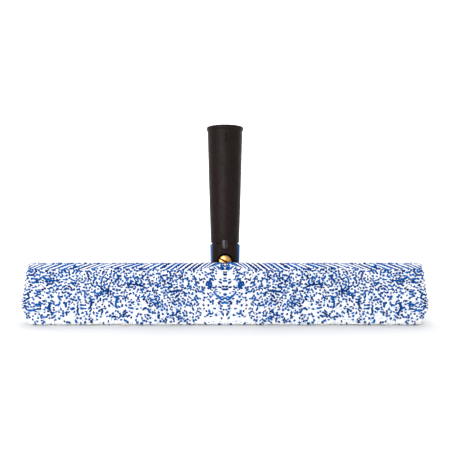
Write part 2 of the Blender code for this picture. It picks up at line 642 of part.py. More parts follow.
def make_carrier_screws(material, head):
    """Pan-head screws with a cross recess, from the carrier into the bar's boss ribs."""
    under = FIT
    face = under + CARRIER_HEAD_HEIGHT
    rim = CARRIER_HEAD_RADIUS
    shank, bite = CARRIER_SCREW_RADIUS, CARRIER_SCREW_BITE
    profile = [(0, -bite), (shank * 0.4, -bite), (shank, shank - bite), (shank, under)]
    profile += [(rim, under), (rim, under + CARRIER_HEAD_HEIGHT * 0.5), (rim * 0.7, face), (0, face)]
    half = CROSS_WIDTH / 2
    floor = face - CROSS_DEPTH
    arm = rim * 0.6
    cross = boxes(((-arm, floor, -half), (arm, face + THROUGH, half)))
    upright = boxes(((-half, floor, -arm), (half, face + THROUGH, arm)))
    for number, (x, z) in enumerate(carrier_screw_places(), start=1):
        place = (x, PLATE_Y1, z)
        name = f"carrier_screw_{number}"
        screw = add_object(name, turned(profile, SMALL_SEGMENTS, "Y"), material, head, place)
        for part, bm in (("_slot_a", cross), ("_slot_b", upright)):
            combine(screw, add_object(name + part, bm.copy(), parent=head, location=place), "DIFFERENCE")
    cross.free()
    upright.free()


def mirrored(half):
    """A closed (u, v) outline from the half on one side of v = 0."""
    return half + [(u, -v) for u, v in reversed(half)]


def make_channel(material, seat):
    """The aluminium channel: a tee in the carrier's slot, and a mouth that grips the rubber."""
    cut = CHANNEL_CHAMFER
    wide, deep = CHANNEL_HALF_WIDTH, CHANNEL_OUT
    cavity = (CHANNEL_IN + BULB_START - FIT, CHANNEL_IN + BULB_START + BULB_DEPTH + FIT)
    bulb, mouth = BULB_HALF_WIDTH + FIT, WEB_HALF_WIDTH + FIT
    half = [(0, TEE_HALF_WIDTH), (TEE_THICKNESS, TEE_HALF_WIDTH), (TEE_THICKNESS, NECK_HALF_WIDTH)]
    half += [(CHANNEL_IN, NECK_HALF_WIDTH), (CHANNEL_IN, wide - cut), (CHANNEL_IN + cut, wide)]
    half += [(deep - cut, wide), (deep, wide - cut), (deep, mouth), (cavity[1], mouth)]
    half += [(cavity[1], bulb), (cavity[0], bulb)]
    outline = mirrored(half)
    return add_object("squeegee_channel", prism(outline, "X", -CHANNEL_END, CHANNEL_END), material, seat)


def make_rubber(material, seat):
    """The rubber strip: a bulb in the channel, a thin web, shoulders outside and a tapering blade."""
    start = CHANNEL_IN + BULB_START
    bulb_end = start + BULB_DEPTH
    shoulder = CHANNEL_OUT + FIT
    tip = CHANNEL_OUT + RUBBER_REACH
    soft = 0.8 * MM
    half = [(start, BULB_HALF_WIDTH - soft), (start + soft, BULB_HALF_WIDTH), (bulb_end, BULB_HALF_WIDTH)]
    half += [(bulb_end, WEB_HALF_WIDTH), (shoulder, WEB_HALF_WIDTH), (shoulder, RUBBER_SHOULDER_HALF_WIDTH)]
    half += [(shoulder + RUBBER_SHOULDER_DEPTH, WEB_HALF_WIDTH), (tip, RUBBER_TIP_HALF_WIDTH)]
    return add_object("squeegee_rubber", prism(mirrored(half), "X", -BLADE_END, BLADE_END), material, seat)


def make_clip(name, side, material, seat):
    """A bent metal clip over one end of the channel, which stops the rubber from sliding out."""
    inner = BLADE_END + FIT
    outer = inner + CLIP_THICKNESS
    near, far = CHANNEL_HALF_WIDTH + FIT, CHANNEL_HALF_WIDTH + FIT + CLIP_THICKNESS
    back = inner - CLIP_WING
    outline = [(back, far), (outer, far), (outer, -far), (back, -far)]
    outline += [(back, -near), (inner, -near), (inner, near), (back, near)]
    start, end = CHANNEL_IN + CLIP_MARGIN, CHANNEL_OUT - CLIP_MARGIN
    bm = prism(outline, "Y", start, end)
    if side < 0:
        bm.transform(Matrix.Rotation(math.pi, 4, "Y"))
    return add_object(name, bm, material, seat)


def main():
    clear_scene()
    materials = make_materials()
    head = add_empty("head", (0, 0, 0))
    pivot = add_empty("handle_pivot", (0, 0, PIVOT_Z))
    seat = add_empty("blade_seat", (0, *on_blade(0, 0)), (-BLADE_TILT, 0, 0))
    make_t_bar(materials["blue_plastic"])
    make_end_cap("end_cap_left", -1, materials["blue_plastic"])
    make_end_cap("end_cap_right", 1, materials["blue_plastic"])
    make_hook_tapes(materials["hook_tape"])
    make_sleeve(materials["sleeve_pile"])
    make_carrier(materials["blue_plastic"], head)
    make_carrier_screws(materials["steel"], head)
    make_channel(materials["aluminium"], seat)
    make_rubber(materials["blade_rubber"], seat)
    make_clip("channel_clip_left", -1, materials["steel"], seat)
    make_clip("channel_clip_right", 1, materials["steel"], seat)
    make_handle_core(materials["black_plastic"], pivot)
    make_grip(materials["grip_rubber"], pivot)
    make_pivot_screw(materials["brass"], pivot)
    make_pivot_stack(materials, pivot, head)


main()
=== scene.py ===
"""Looks for a window washing tool: pile sleeve in front, blade behind, swivel handle with a rubber grip.

It is laid out as a Blender add-on and is run as a script. Every size is in metres.
"""

import json
import math
from collections import namedtuple
from contextlib import contextmanager

import bmesh
import bpy
import numpy as np
from bpy.props import FloatProperty, FloatVectorProperty, IntProperty, PointerProperty
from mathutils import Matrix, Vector


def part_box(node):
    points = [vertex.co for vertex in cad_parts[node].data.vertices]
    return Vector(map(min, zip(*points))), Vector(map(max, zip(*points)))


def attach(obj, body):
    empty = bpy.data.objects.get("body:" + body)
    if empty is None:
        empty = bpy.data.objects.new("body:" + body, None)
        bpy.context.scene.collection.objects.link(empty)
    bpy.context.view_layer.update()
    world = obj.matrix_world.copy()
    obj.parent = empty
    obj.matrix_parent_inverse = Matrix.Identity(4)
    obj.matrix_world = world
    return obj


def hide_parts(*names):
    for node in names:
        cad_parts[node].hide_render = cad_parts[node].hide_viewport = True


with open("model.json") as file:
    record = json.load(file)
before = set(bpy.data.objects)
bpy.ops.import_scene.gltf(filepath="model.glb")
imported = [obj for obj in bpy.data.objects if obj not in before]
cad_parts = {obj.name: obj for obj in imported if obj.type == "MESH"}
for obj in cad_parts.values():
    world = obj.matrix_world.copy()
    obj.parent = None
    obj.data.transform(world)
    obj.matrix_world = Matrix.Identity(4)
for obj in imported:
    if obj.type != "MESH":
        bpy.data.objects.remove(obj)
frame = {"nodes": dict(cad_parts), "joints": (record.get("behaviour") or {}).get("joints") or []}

bl_info = {
    "name": "Window washer looks",
    "version": (1, 0, 0),
    "blender": (4, 5, 0),
    "location": "View3D > Sidebar > Washer",
    "description": "Builds the sleeve's pile, the handle, the blade and their finishes round the frame",
    "category": "Object",
}

X, Y, Z = range(3)
MM = 0.001
SEED = 20
MOST_TRIANGLES = 190000  # in one piece of pile
WHOLE_RING = 100  # a CAD level with fewer points is not a full turn

# Places read from the frame.
SLEEVE_LOW, SLEEVE_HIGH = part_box("washer_sleeve")
CAP_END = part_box("end_cap_right")[1].x
CORE_LOW, CORE_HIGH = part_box("handle_core")
SCREW_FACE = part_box("pivot_screw")[0].y
PIVOT = Vector(frame["joints"][0]["pos_m"])
KEY_HEIGHT = PIVOT.z + 15.6 * MM
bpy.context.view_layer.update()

# The sleeve's front outline, half of it, as (x, z) from the bottom corner up. The loops hang over it.
FLARE = 4.6 * MM
SLEEVE_END = SLEEVE_HIGH.x - FLARE
BOTTOM_CORNER = (SLEEVE_END - 0.5 * MM, 0.0)
SIDE_LOW = (SLEEVE_END + 0.5 * MM, 7.0 * MM)
FLARE_POINT = (SLEEVE_HIGH.x + 1.0 * MM, 15.0 * MM)
SIDE_TOP = (SLEEVE_END + 1.8 * MM, 36.0 * MM)
TOP_CORNER = (SLEEVE_END - 0.2 * MM, SLEEVE_HIGH.z)
ROUNDING = 3.0 * MM

# The sleeve's hollow, and the slot in its top that the handle swings in.
INNER_X = CAP_END + 0.3 * MM
INNER_LOW = 7.9 * MM
INNER_HIGH = 45.66 * MM
SLEEVE_BACK = SLEEVE_HIGH.y
SLOT_HALF = 21.97 * MM
SLOT_FRONT = -13.7 * MM
ABOVE_SLOT_FLOOR = PIVOT.z - 18 * MM  # a height between the sleeve's underside and its slotted top

# Long blue yarns on the front, half of them, as (x, z) in millimetres along each.
LONG_MARKS = [
    [(10.5, 43.0), (13.0, 40.5), (14.8, 36.5), (13.2, 33.0), (11.8, 31.4)],
    [(10.6, 30.8), (8.8, 28.6), (6.0, 25.6), (3.0, 23.2), (0.4, 22.4)],
    [(36.6, 33.2), (38.6, 31.0), (43.4, 30.9), (48.0, 30.2), (52.0, 29.2)],
    [(154.0, 22.0), (154.6, 19.5), (155.2, 17.0), (155.0, 14.5), (154.0, 12.5)],
    [(164.0, 44.0), (160.0, 42.2), (155.5, 40.6), (152.0, 39.8), (149.0, 38.6)],
    [(171.5, 21.0), (169.0, 19.6), (167.0, 18.8), (165.2, 18.9), (163.5, 19.8)],
    [(120.0, 24.0), (118.6, 22.6), (117.8, 20.0), (118.6, 17.4), (120.6, 15.8)],
    [(84.0, 37.0), (80.5, 36.2), (77.0, 36.8), (74.0, 35.6), (71.5, 33.8)],
]

# The edge yarns, by the distance of a yarn's top from the middle: how far it hangs down the front, how far
# it runs outwards on its way, and how many pitches away the next one lies.
EDGE_DROPS = (
    np.array([-8, 2, 10, 22, 40, 62, 90, 112, 170]) * MM,
    np.array([1.4, 3.6, 5.4, 6.0, 5.2, 3.0, 2.8, 4.2, 4.6]) * MM,
)
EDGE_RUNS = (np.array([0, 20, 45, 70, 170]) * MM, np.array([16, 14, 16, 23, 24]) * MM)
EDGE_PITCHES = (np.array([0, 55, 75, 170]) * MM, np.array([1.0, 1.0, 1.4, 1.4]))

# How likely a loop is to be blue: less towards the bottom edge, and less in front of the handle.
BLUE_UP_THE_FACE = (np.array([1, 3, 8, 20, 34]) * MM, [0.22, 0.45, 0.78, 0.88, 1.0])
BLUE_FROM_THE_MIDDLE = (np.array([10, 26, 40]) * MM, [0.76, 0.8, 1.0])

# The rounded bead round the grip's mouth: (distance below the rim, share of the lip's overhang).
LIP_BEAD = [
    (3.7 * MM, 0.1),
    (3.2 * MM, 0.62),
    (2.5 * MM, 0.92),
    (1.5 * MM, 1.0),
    (0.7 * MM, 0.94),
    (0.15 * MM, 0.7),
    (0.0, 0.4),
]
LIP_LEVELS = 4  # the CAD grip's uppermost levels, which are its lip

# The raised marks on the grip: (name, distance below the rim, width and height, rise setting, crest).
GRIP_MARKS = [
    ("grip_ridge", 11.6 * MM, (4.2 * MM, 9.0 * MM), "ridge_height", 0.75 * MM),
    ("grip_bar_1", 21.5 * MM, (4.4 * MM, 5.0 * MM), "bar_height", 0.0),
    ("grip_bar_2", 42.0 * MM, (4.4 * MM, 5.0 * MM), "bar_height", 0.0),
    ("grip_bar_3", 66.0 * MM, (4.4 * MM, 5.0 * MM), "bar_height", 0.0),
    ("grip_bar_4", 84.0 * MM, (4.4 * MM, 8.0 * MM), "bar_height", 0.0),
]

# CAD pieces whose edges are rounded: (node, ending of the piece's name, finish, radius).
FASTENERS = [
    ("pivot_screw", "_turned", "brass", 0.22 * MM),
    ("pivot_nut", "_turned", "brass", 0.3 * MM),
    ("flat_washer", "_turned", "brass", 0.12 * MM),
    ("spring_washer", "_turned", "steel", 0.15 * MM),
]
BLADE_PIECES = [
    ("squeegee_channel", "_drawn", "aluminium", 0.25 * MM),
    ("squeegee_rubber", "_moulded", "blade_rubber", 0.1 * MM),
    ("channel_clip_left", "_bent", "steel", 0.2 * MM),
    ("channel_clip_right", "_bent", "steel", 0.2 * MM),
    *[(f"carrier_screw_{i}", "_pressed", "steel", 0.12 * MM) for i in range(1, 7)],
]
MOULDINGS = ["t_bar", "end_cap_left", "end_cap_right", "blade_carrier"]

# CAD pieces that stay as they are, and their finishes.
HIDDEN = {
    "pivot_bush": "brass",
    "friction_washer_front": "nylon",
    "friction_washer_rear": "nylon",
    "hook_tape_top_left": "hook_tape",
    "hook_tape_top_right": "hook_tape",
    "hook_tape_bottom": "hook_tape",
}

FINISHES = {}


# ---------------------------------------------------------------- finishes


def linear(hex_colour):
    """Linear RGBA from an sRGB hex string."""
    parts = [int(hex_colour[i : i + 2], 16) / 255 for i in (1, 3, 5)]
    return (*[p / 12.92 if p <= 0.04045 else ((p + 0.055) / 1.055) ** 2.4 for p in parts], 1.0)


def hex_of(colour):
    """The hex string of a colour property, which holds sRGB values."""
    return "#" + "".join(f"{round(255 * c):02X}" for c in colour[:3])


def per(size_mm):
    """Texture scale that gives features of this size in millimetres."""
    return 1000.0 / size_mm


class Finish:
    """A material in the making: its Principled shader, and the Object coordinates that its patterns read."""

    def __init__(self, name, **surface):
        self.material = bpy.data.materials.new(name)
        self.material.use_nodes = True
        self.tree = self.material.node_tree
        self.tree.nodes.clear()
        self.shader = self.tree.nodes.new("ShaderNodeBsdfPrincipled")
        output = self.tree.nodes.new("ShaderNodeOutputMaterial")
        self.fill(output, {"Surface": self.shader.outputs["BSDF"]})
        self.place = self.node("TexCoord", {}, "Object")
        self.surface(**surface)

    def fill(self, node, inputs):
        """Links a node's inputs to sockets, or sets them. A hex colour is turned to linear."""
        for name, value in inputs.items():
            if isinstance(value, bpy.types.NodeSocket):
                self.tree.links.new(value, node.inputs[name])
            else:
                node.inputs[name].default_value = linear(value) if isinstance(value, str) else value

    def node(self, kind, inputs, out=0, stops=(), **settings):
        """Adds a node, with a colour ramp's stops as (place, colour), and returns one of its outputs."""
        made = self.tree.nodes.new("ShaderNode" + kind)
        for name, value in settings.items():
            setattr(made, name, value)
        self.fill(made, inputs)
        for i, (place, colour) in enumerate(stops):
            made.color_ramp.elements[i].position = place
            made.color_ramp.elements[i].color = linear(colour)
        return made.outputs[out]

    def surface(self, **inputs):
        """Sets or links inputs of the shader, named with _ for each space."""
        self.fill(self.shader, {name.replace("_", " "): value for name, value in inputs.items()})


def pile_yarn(name, body, tip, sheen):
    """Fluffed polyester yarn: matt, with soft edges where fine fibres catch light, no two loops alike."""
    f = Finish(name, Roughness=0.92, IOR=1.5, Specular_IOR_Level=0.12)
    f.surface(Sheen_Weight=sheen, Sheen_Roughness=0.5)
    shade = f.node("Attribute", {}, "Fac", attribute_name="shade")
    fibres = f.node("TexNoise", {"Vector": f.place, "Scale": per(0.45), "Detail": 3.0}, "Fac")
    f.surface(
        Base_Color=f.node("Mix", {0: shade, 6: body, 7: tip}, 2, data_type="RGBA"),
        Normal=f.node("Bump", {"Height": fibres, "Distance": 0.25 * MM, "Strength": 0.6}),
    )
    return f


def packed_yarn(name):
    """The pile between the loops that stand out: pale yarn with blue in it, a little darker than the tips."""
    f = Finish(name, Roughness=0.95, Specular_IOR_Level=0.15, Sheen_Weight=0.3)
    warp = f.node("TexNoise", {"Vector": f.place, "Scale": per(5.0), "Detail": 2.0}, "Color")
    bent = f.node("Mix", {0: 0.012, 4: f.place, 5: warp}, 1, data_type="VECTOR")
    flecks = f.node("TexNoise", {"Vector": bent, "Scale": per(1.9), "Detail": 1.0}, "Fac")
    blue = f.node("ValToRGB", {"Fac": flecks}, "Color", [(0.36, "#FFFFFF"), (0.42, "#000000")])
    f.surface(
        Base_Color=f.node("Mix", {0: blue, 6: "#F0F3F9", 7: "#5A94D2"}, 2, data_type="RGBA"),
        Normal=f.node("Bump", {"Height": flecks, "Distance": 1.2 * MM}),
    )
    return f


def woven_cloth(name, warp, weft, pitch):
    """Plain woven polyester: two thread directions that pass over and under each other, a soft dull grid."""
    f = Finish(name, Roughness=0.85, Sheen_Weight=0.2)
    threads = {"Vector": f.place, "Scale": per(pitch * math.pi), "Distortion": 0.4, "Detail": 1.0}
    across, up = (f.node("TexWave", threads, "Fac", wave_type="BANDS", bands_direction=d) for d in "XZ")
    crossings = f.node("Math", {0: across, 1: up}, operation="MULTIPLY")
    f.surface(
        Base_Color=f.node("Mix", {0: crossings, 6: warp, 7: weft}, 2, data_type="RGBA"),
        Normal=f.node("Bump", {"Height": crossings, "Distance": 0.3 * MM}),
    )
    return f


def moulded(name, body, worn, roughness, grain, height, specular):
    """An injection moulding: faint flow mottling, a fine spark-eroded grain, and rubbed and duller areas."""
    f = Finish(name, IOR=1.46, Specular_IOR_Level=specular)
    mottle = f.node("TexNoise", {"Vector": f.place, "Scale": per(14.0), "Detail": 4.0}, "Fac")
    scuffs = f.node("TexNoise", {"Vector": f.place, "Scale": per(4.0), "Detail": 6.0}, "Fac")
    fine = f.node("TexNoise", {"Vector": f.place, "Scale": per(grain), "Detail": 2.0}, "Fac")
    rubbed = {"From Min": 0.3, "From Max": 0.7, "To Min": roughness - 0.07, "To Max": roughness + 0.1}
    f.surface(
        Base_Color=f.node("Mix", {0: mottle, 6: body, 7: worn}, 2, data_type="RGBA"),
        Roughness=f.node("MapRange", {"Value": scuffs, **rubbed}),
        Normal=f.node("Bump", {"Height": fine, "Distance": height}),
    )
    return f


def with_painted_recess_shade(f):
    """Painted shade that blackens the round recess about the pivot screw's head, and a rougher surface there
    that takes its shine.
    """
    offset = f.node("VectorMath", {0: f.place, 1: PIVOT}, operation="SUBTRACT")
    flat = f.node("VectorMath", {0: offset, 1: (1, 0, 1)}, operation="MULTIPLY")
    reach = f.node("VectorMath", {0: flat}, "Value", operation="LENGTH")
    edge = {"From Min": 6.8 * MM, "From Max": 7.4 * MM, "To Min": 1.0, "To Max": 0.0}
    # Painted shade: the plastic in the round recess about the pivot is coloured near-black.
    recess_shade = f.node("MapRange", {"Value": reach, **edge})
    unshaded_colour, shiny = (f.shader.inputs[name].links[0].from_socket for name in ("Base Color", "Roughness"))
    f.surface(
        Base_Color=f.node("Mix", {0: recess_shade, 6: unshaded_colour, 7: "#040303"}, 2, data_type="RGBA"),
        Roughness=f.node("Mix", {0: recess_shade, 2: shiny, 3: 0.95}, data_type="FLOAT"),
    )
    return f


def turned_brass(name):
    """Free-cutting brass turned on a lathe: fine rings about the axis, brown tarnish where nothing rubs."""
    f = Finish(name, Metallic=1.0)
    centred = f.node("Mapping", {"Vector": f.place, "Location": -PIVOT}, vector_type="POINT")
    marks = {"Vector": centred, "Scale": per(0.5 * math.pi), "Distortion": 0.6, "Detail": 2.0}
    rings = f.node("TexWave", marks, "Fac", wave_type="RINGS", rings_direction="Y")
    tarnish = f.node("TexNoise", {"Vector": f.place, "Scale": per(3.0), "Detail": 5.0}, "Fac")
    spots = f.node("ValToRGB", {"Fac": tarnish}, "Color", [(0.45, "#000000"), (0.75, "#FFFFFF")])
    worn = f.node("Mix", {0: spots, 6: "#D9A25C", 7: "#93622B"}, 2, data_type="RGBA")
    # Painted shade darkens the screw's slot, behind its face and no deeper than the slot.
    slot_floor = SCREW_FACE + 1.8 * MM
    depth = f.node("SeparateXYZ", {0: f.place}, "Y")
    behind = {"From Min": SCREW_FACE + 0.45 * MM, "From Max": SCREW_FACE + 1.0 * MM}
    behind_face = f.node("MapRange", {"Value": depth, **behind})
    above_floor = f.node("Math", {0: depth, 1: slot_floor}, operation="LESS_THAN")
    painted_slot_shade = f.node("Math", {0: behind_face, 1: above_floor}, operation="MULTIPLY")
    f.surface(
        Base_Color=f.node("Mix", {0: painted_slot_shade, 6: worn, 7: "#2E1D0C"}, 2, data_type="RGBA"),
        Roughness=f.node("MapRange", {"Value": spots, "To Min": 0.24, "To Max": 0.5}),
        Normal=f.node("Bump", {"Height": rings, "Distance": 0.02 * MM}),
    )
    return f


def brushed_metal(name, body, streak, roughness, stretch, height):
    """Drawn or brushed metal: fine scratches along one direction, which spread the highlights across them."""
    f = Finish(name, Metallic=1.0)
    along = f.node("Mapping", {"Vector": f.place, "Scale": stretch})
    lines = f.node("TexNoise", {"Vector": along, "Scale": per(0.5), "Detail": 4.0}, "Fac")
    ends = {"To Min": roughness - 0.08, "To Max": roughness + 0.12}
    f.surface(
        Base_Color=f.node("Mix", {0: lines, 6: body, 7: streak}, 2, data_type="RGBA"),
        Roughness=f.node("MapRange", {"Value": lines, **ends}),
        Normal=f.node("Bump", {"Height": lines, "Distance": height}),
    )
    return f


def hook_tape(name):
    """Woven nylon hook tape: rows of short stiff hooks on a dark ribbon."""
    f = Finish(name, Roughness=0.6)
    hooks = f.node("TexVoronoi", {"Vector": f.place, "Scale": per(1.6), "Randomness": 0.25}, "Distance")
    raised = f.node("Math", {0: 1.0, 1: hooks}, operation="SUBTRACT")
    f.surface(
        Base_Color=f.node("Mix", {0: hooks, 6: "#4C66A0", 7: "#101C3C"}, 2, data_type="RGBA"),
        Normal=f.node("Bump", {"Height": raised, "Distance": 0.8 * MM}),
    )
    return f


def make_finishes(head, sleeve, handle):
    """Every material of the tool, by a plain name."""
    white, white_shadow = hex_of(sleeve.white), hex_of(sleeve.white_shadow)
    blue, blue_light = hex_of(sleeve.blue), hex_of(sleeve.blue_light)
    plastic, rubber = hex_of(head.plastic), hex_of(handle.rubber)
    along_bar, upright = (0.02, 1.0, 1.0), (1.0, 1.0, 0.15)  # how the scratches are stretched
    nylon = moulded("glass_filled_nylon_black", "#130B0A", "#1B110F", 0.48, 0.8, 0.1 * MM, 0.12)
    made = {
        "white_yarn": pile_yarn("white_polyester_pile", white_shadow, white, 0.35),
        "blue_yarn": pile_yarn("blue_polyester_pile", blue, blue_light, 0.0),
        "pile_depth": packed_yarn("packed_polyester_pile"),
        "backing": woven_cloth("woven_polyester_backing", "#DDE2EC", "#8FA3CC", 1.1),
        "binding": woven_cloth("binding_tape_blue", "#20488F", "#6F8FCB", 0.9),
        "blue_plastic": moulded("moulded_polypropylene_blue", plastic, "#064F8C", 0.4, 0.5, 0.02 * MM, 0.28),
        "black_plastic": with_painted_recess_shade(nylon),
        "grip_rubber": moulded("thermoplastic_rubber_black", rubber, "#1A0F0D", 0.46, 1.3, 0.32 * MM, 0.14),
        "rubbed_rubber": moulded("rubber_rubbed_smooth", "#140E0C", "#1C1412", 0.34, 1.3, 0.03 * MM, 0.42),
        "blade_rubber": moulded("natural_rubber_black", "#131211", "#1C1A19", 0.42, 1.5, 0.01 * MM, 0.25),
        "brass": turned_brass("turned_brass"),
        "steel": brushed_metal("zinc_plated_steel", "#B9BABC", "#D8D9DB", 0.3, upright, 0.01 * MM),
        "aluminium": brushed_metal("drawn_aluminium", "#B4B6BA", "#D2D4D8", 0.34, along_bar, 0.02 * MM),
        "nylon": moulded("natural_nylon", "#DDD9CC", "#E8E4D8", 0.45, 0.4, 0.01 * MM, 0.5),
        "hook_tape": hook_tape("woven_hook_tape"),
    }
    return {name: finish.material for name, finish in made.items()}


# ---------------------------------------------------------------- modelling helpers


def deselect():
    if bpy.context.mode != "OBJECT":
        bpy.ops.object.mode_set(mode="OBJECT")
    bpy.ops.object.select_all(action="DESELECT")


def pick(obj):
    deselect()
    obj.select_set(True)
    bpy.context.view_layer.objects.active = obj


def begin(name, operator, **settings):
    """Adds a primitive, names it, and moves its place into its mesh, so that it sits at the origin."""
    deselect()
    operator(**settings)
    obj = bpy.context.object
    obj.name = name
    obj.data.name = name
    bpy.ops.object.transform_apply(location=True, rotation=True, scale=True)
    return obj


def add_object(name, data):
    """An object in the scene for a mesh, a curve, a light or a camera."""
    obj = bpy.data.objects.new(name, data)
    bpy.context.scene.collection.objects.link(obj)
    return obj


@contextmanager
def editing(face_out=False):
    """Edit mode for the active object. At its end, faces can be turned outwards."""
    bpy.ops.object.mode_set(mode="EDIT")
    yield
    if face_out:
        bpy.ops.mesh.select_all(action="SELECT")
        bpy.ops.mesh.normals_make_consistent(inside=False)
    bpy.ops.object.mode_set(mode="OBJECT")


def choose(obj, kind, test):
    """In edit mode, selects the vertices, edges or faces whose middle passes the test."""
    bpy.ops.mesh.select_mode(type=kind)
    bpy.ops.mesh.select_all(action="DESELECT")
    bm = bmesh.from_edit_mesh(obj.data)
    found = False
    for item in {"VERT": bm.verts, "EDGE": bm.edges, "FACE": bm.faces}[kind]:
        points = [item.co] if kind == "VERT" else [v.co for v in item.verts]
        if test(sum(points, Vector()) / len(points), item):
            item.select = found = True
    bm.select_flush_mode()
    bmesh.update_edit_mesh(obj.data)
    if not found:
        raise RuntimeError(f"{obj.name}: nothing to select")


def delete_faces(obj, test):
    choose(obj, "FACE", test)
    bpy.ops.mesh.delete(type="FACE")


def cut(axis, at, whole=True):
    """Cuts the mesh, or the chosen faces of it, along the plane where one coordinate has a value."""
    if whole:
        bpy.ops.mesh.select_all(action="SELECT")
    across = [float(axis == other) for other in (X, Y, Z)]
    bpy.ops.mesh.bisect(plane_co=[at * share for share in across], plane_no=across)


def add_modifier(obj, kind, **settings):
    """Adds a modifier and applies it."""
    pick(obj)
    modifier = obj.modifiers.new(kind.lower(), kind)
    for name, value in settings.items():
        setattr(modifier, name, value)
    bpy.ops.object.modifier_apply(modifier=modifier.name)


def smooth(obj, degrees=35):
    pick(obj)
    bpy.ops.object.shade_smooth_by_angle(angle=math.radians(degrees))


def dress(obj, finish, body):
    """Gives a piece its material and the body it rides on."""
    obj.data.materials.clear()
    obj.data.materials.append(FINISHES[finish])
    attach(obj, body)


def dress_on_sleeve(obj, finish):
    """Dresses a piece of the sleeve, and marks it as sewn to the backing."""
    dress(obj, finish, "head")
    obj["on_sleeve"] = True


def mesh_of(name, points, triangles, shade):
    """A smooth mesh object from arrays of points, triangles and the points' shades."""
    mesh = bpy.data.meshes.new(name)
    mesh.vertices.add(len(points))
    mesh.vertices.foreach_set("co", np.asarray(points, np.float32).ravel())
    mesh.loops.add(3 * len(triangles))
    mesh.loops.foreach_set("vertex_index", np.asarray(triangles, np.int32).ravel())
    mesh.polygons.add(len(triangles))
    mesh.polygons.foreach_set("loop_start", np.arange(0, 3 * len(triangles), 3, dtype=np.int32))
    mesh.polygons.foreach_set("use_smooth", np.ones(len(triangles), bool))
    mesh.update(calc_edges=True)
    layer = mesh.attributes.new("shade", "FLOAT", "POINT")
    layer.data.foreach_set("value", np.asarray(shade, np.float32))
    return add_object(name, mesh)


def softened_copy(node, ending, radius, angle=30):
    """A copy of a CAD piece with its moulded or machined edges rounded. It stands for that piece."""
    obj = add_object(node + ending, frame["nodes"][node].data.copy())
    pick(obj)
    with editing():
        bpy.ops.mesh.select_all(action="SELECT")
        bpy.ops.mesh.remove_doubles(threshold=0.002 * MM)
        bpy.ops.mesh.customdata_custom_splitnormals_clear()
        bpy.ops.mesh.dissolve_limited(angle_limit=math.radians(1))
    add_modifier(
        obj,
        "BEVEL",
        width=radius,
        segments=2,
        limit_method="ANGLE",
        angle_limit=math.radians(angle),
        harden_normals=False,
        use_clamp_overlap=True,
        miter_outer="MITER_ARC",
    )
    smooth(obj, 40)
    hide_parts(node)
    return obj


# ---------------------------------------------------------------- settings


def colour(name, text, default):
    return FloatVectorProperty(
        name=name, description=text, default=default, size=3, min=0, max=1, subtype="COLOR_GAMMA"
    )


def length(name, text, default):
    return FloatProperty(name=name, description=text, default=default, min=0, unit="LENGTH", precision=5)


def share(name, text, default):
    return FloatProperty(name=name, description=text, default=default, min=0, max=1, subtype="FACTOR")


def strength(name, text, default, subtype="NONE"):
    return FloatProperty(name=name, description=text, default=default, min=0, subtype=subtype)


class SleeveSettings(bpy.types.PropertyGroup):
    pile_height: length("Pile height", "How far the loops stand out of the packed pile", 1.0 * MM)
    loop_length: length("Loop length", "Length of a loop that shows on the surface", 4.1 * MM)
    short_share: share("Short share", "Share of the loops that are short", 0.6)
    yarn_width: length("Yarn width", "Width of one fluffed yarn", 1.35 * MM)
    spacing: length("Loop spacing", "Least distance between two loops' middles", 1.45 * MM)
    blue_width: length("Blue yarn width", "Width of one blue yarn", 2.25 * MM)
    blue_spacing: length("Blue spacing", "Least distance between two blue loops' middles", 2.03 * MM)
    blue_share: share("Blue share", "Share of the blue loops' places that are filled", 1.0)
    edge_width: length("Edge yarn width", "Width of a yarn combed over the top front edge", 1.3 * MM)
    edge_pitch: length("Edge yarn pitch", "Distance between edge yarns near the handle", 2.4 * MM)
    long_loops: IntProperty(name="Long loops", description="Stray long loops on each half", default=9, min=0)
    white: colour("White", "White yarn at its tips", (1.0, 0.98, 0.94))
    white_shadow: colour("White, deep", "White yarn at its duller places", (0.95, 0.965, 0.98))
    blue: colour("Blue", "Blue yarn", (0.0, 0.125, 0.375))
    blue_light: colour("Blue, light", "Blue yarn where light comes through it", (0.03, 0.38, 0.69))


class HandleSettings(bpy.types.PropertyGroup):
    swell: length("Swell", "How much the soft grip stands out past the CAD piece under its lip", 0.8 * MM)
    rubber: colour("Rubber", "Colour of the grip", (0.074, 0.04, 0.032))
    ridge_height: length("Ridge height", "How far the ridge under the lip stands out", 0.4 * MM)
    bar_height: length("Bar height", "How far the raised bars on the grip stand out", 0.35 * MM)
    key_height: length("Key height", "How far the crest of the oval key stands out", 0.7 * MM)
    edge_radius: length("Edge radius", "Rounding of the fork's edges", 0.35 * MM)


class HeadSettings(bpy.types.PropertyGroup):
    plastic: colour("Plastic", "Colour of the T-bar and the blade carrier", (0.0, 0.35, 0.645))
    edge_radius: length("Edge radius", "Rounding of the moulded edges", 0.4 * MM)


class StageSettings(bpy.types.PropertyGroup):
    camera_distance: length("Camera distance", "From the pivot's plane to the camera", 0.5)
    camera_height: length("Camera height", "Height of the camera above the floor", 89.1 * MM)
    lens: FloatProperty(name="Lens", description="Focal length in millimetres", default=43.4, min=10)
    world: strength("Room light", "Strength of the white room", 0.82)
    backdrop: strength("Backdrop", "Brightness of the lit backdrop", 1.0)
    front: strength("Front light", "Power of the front soft box", 10.5, "POWER")
    top: strength("Top light", "Strength of the overhead diffuser", 1.4)


# ---------------------------------------------------------------- the sleeve

# A straight yarn of unit length and thickness: where it can bend, its points, its triangles, and the number
# of the station that each point belongs to.
Yarn = namedtuple("Yarn", "stations points triangles station")

# The steps from a cell of space to itself and to the cells round it.
NEIGHBOURS = np.array([(x, y, z) for x in (-1, 0, 1) for y in (-1, 0, 1) for z in (-1, 0, 1)])


def half_width(z, inset=0.0):
    """Half the sleeve's width at a height, on its front outline."""
    rows = [BOTTOM_CORNER, SIDE_LOW, FLARE_POINT, SIDE_TOP, TOP_CORNER]
    return np.interp(z, [r[1] for r in rows], [r[0] for r in rows]) - inset


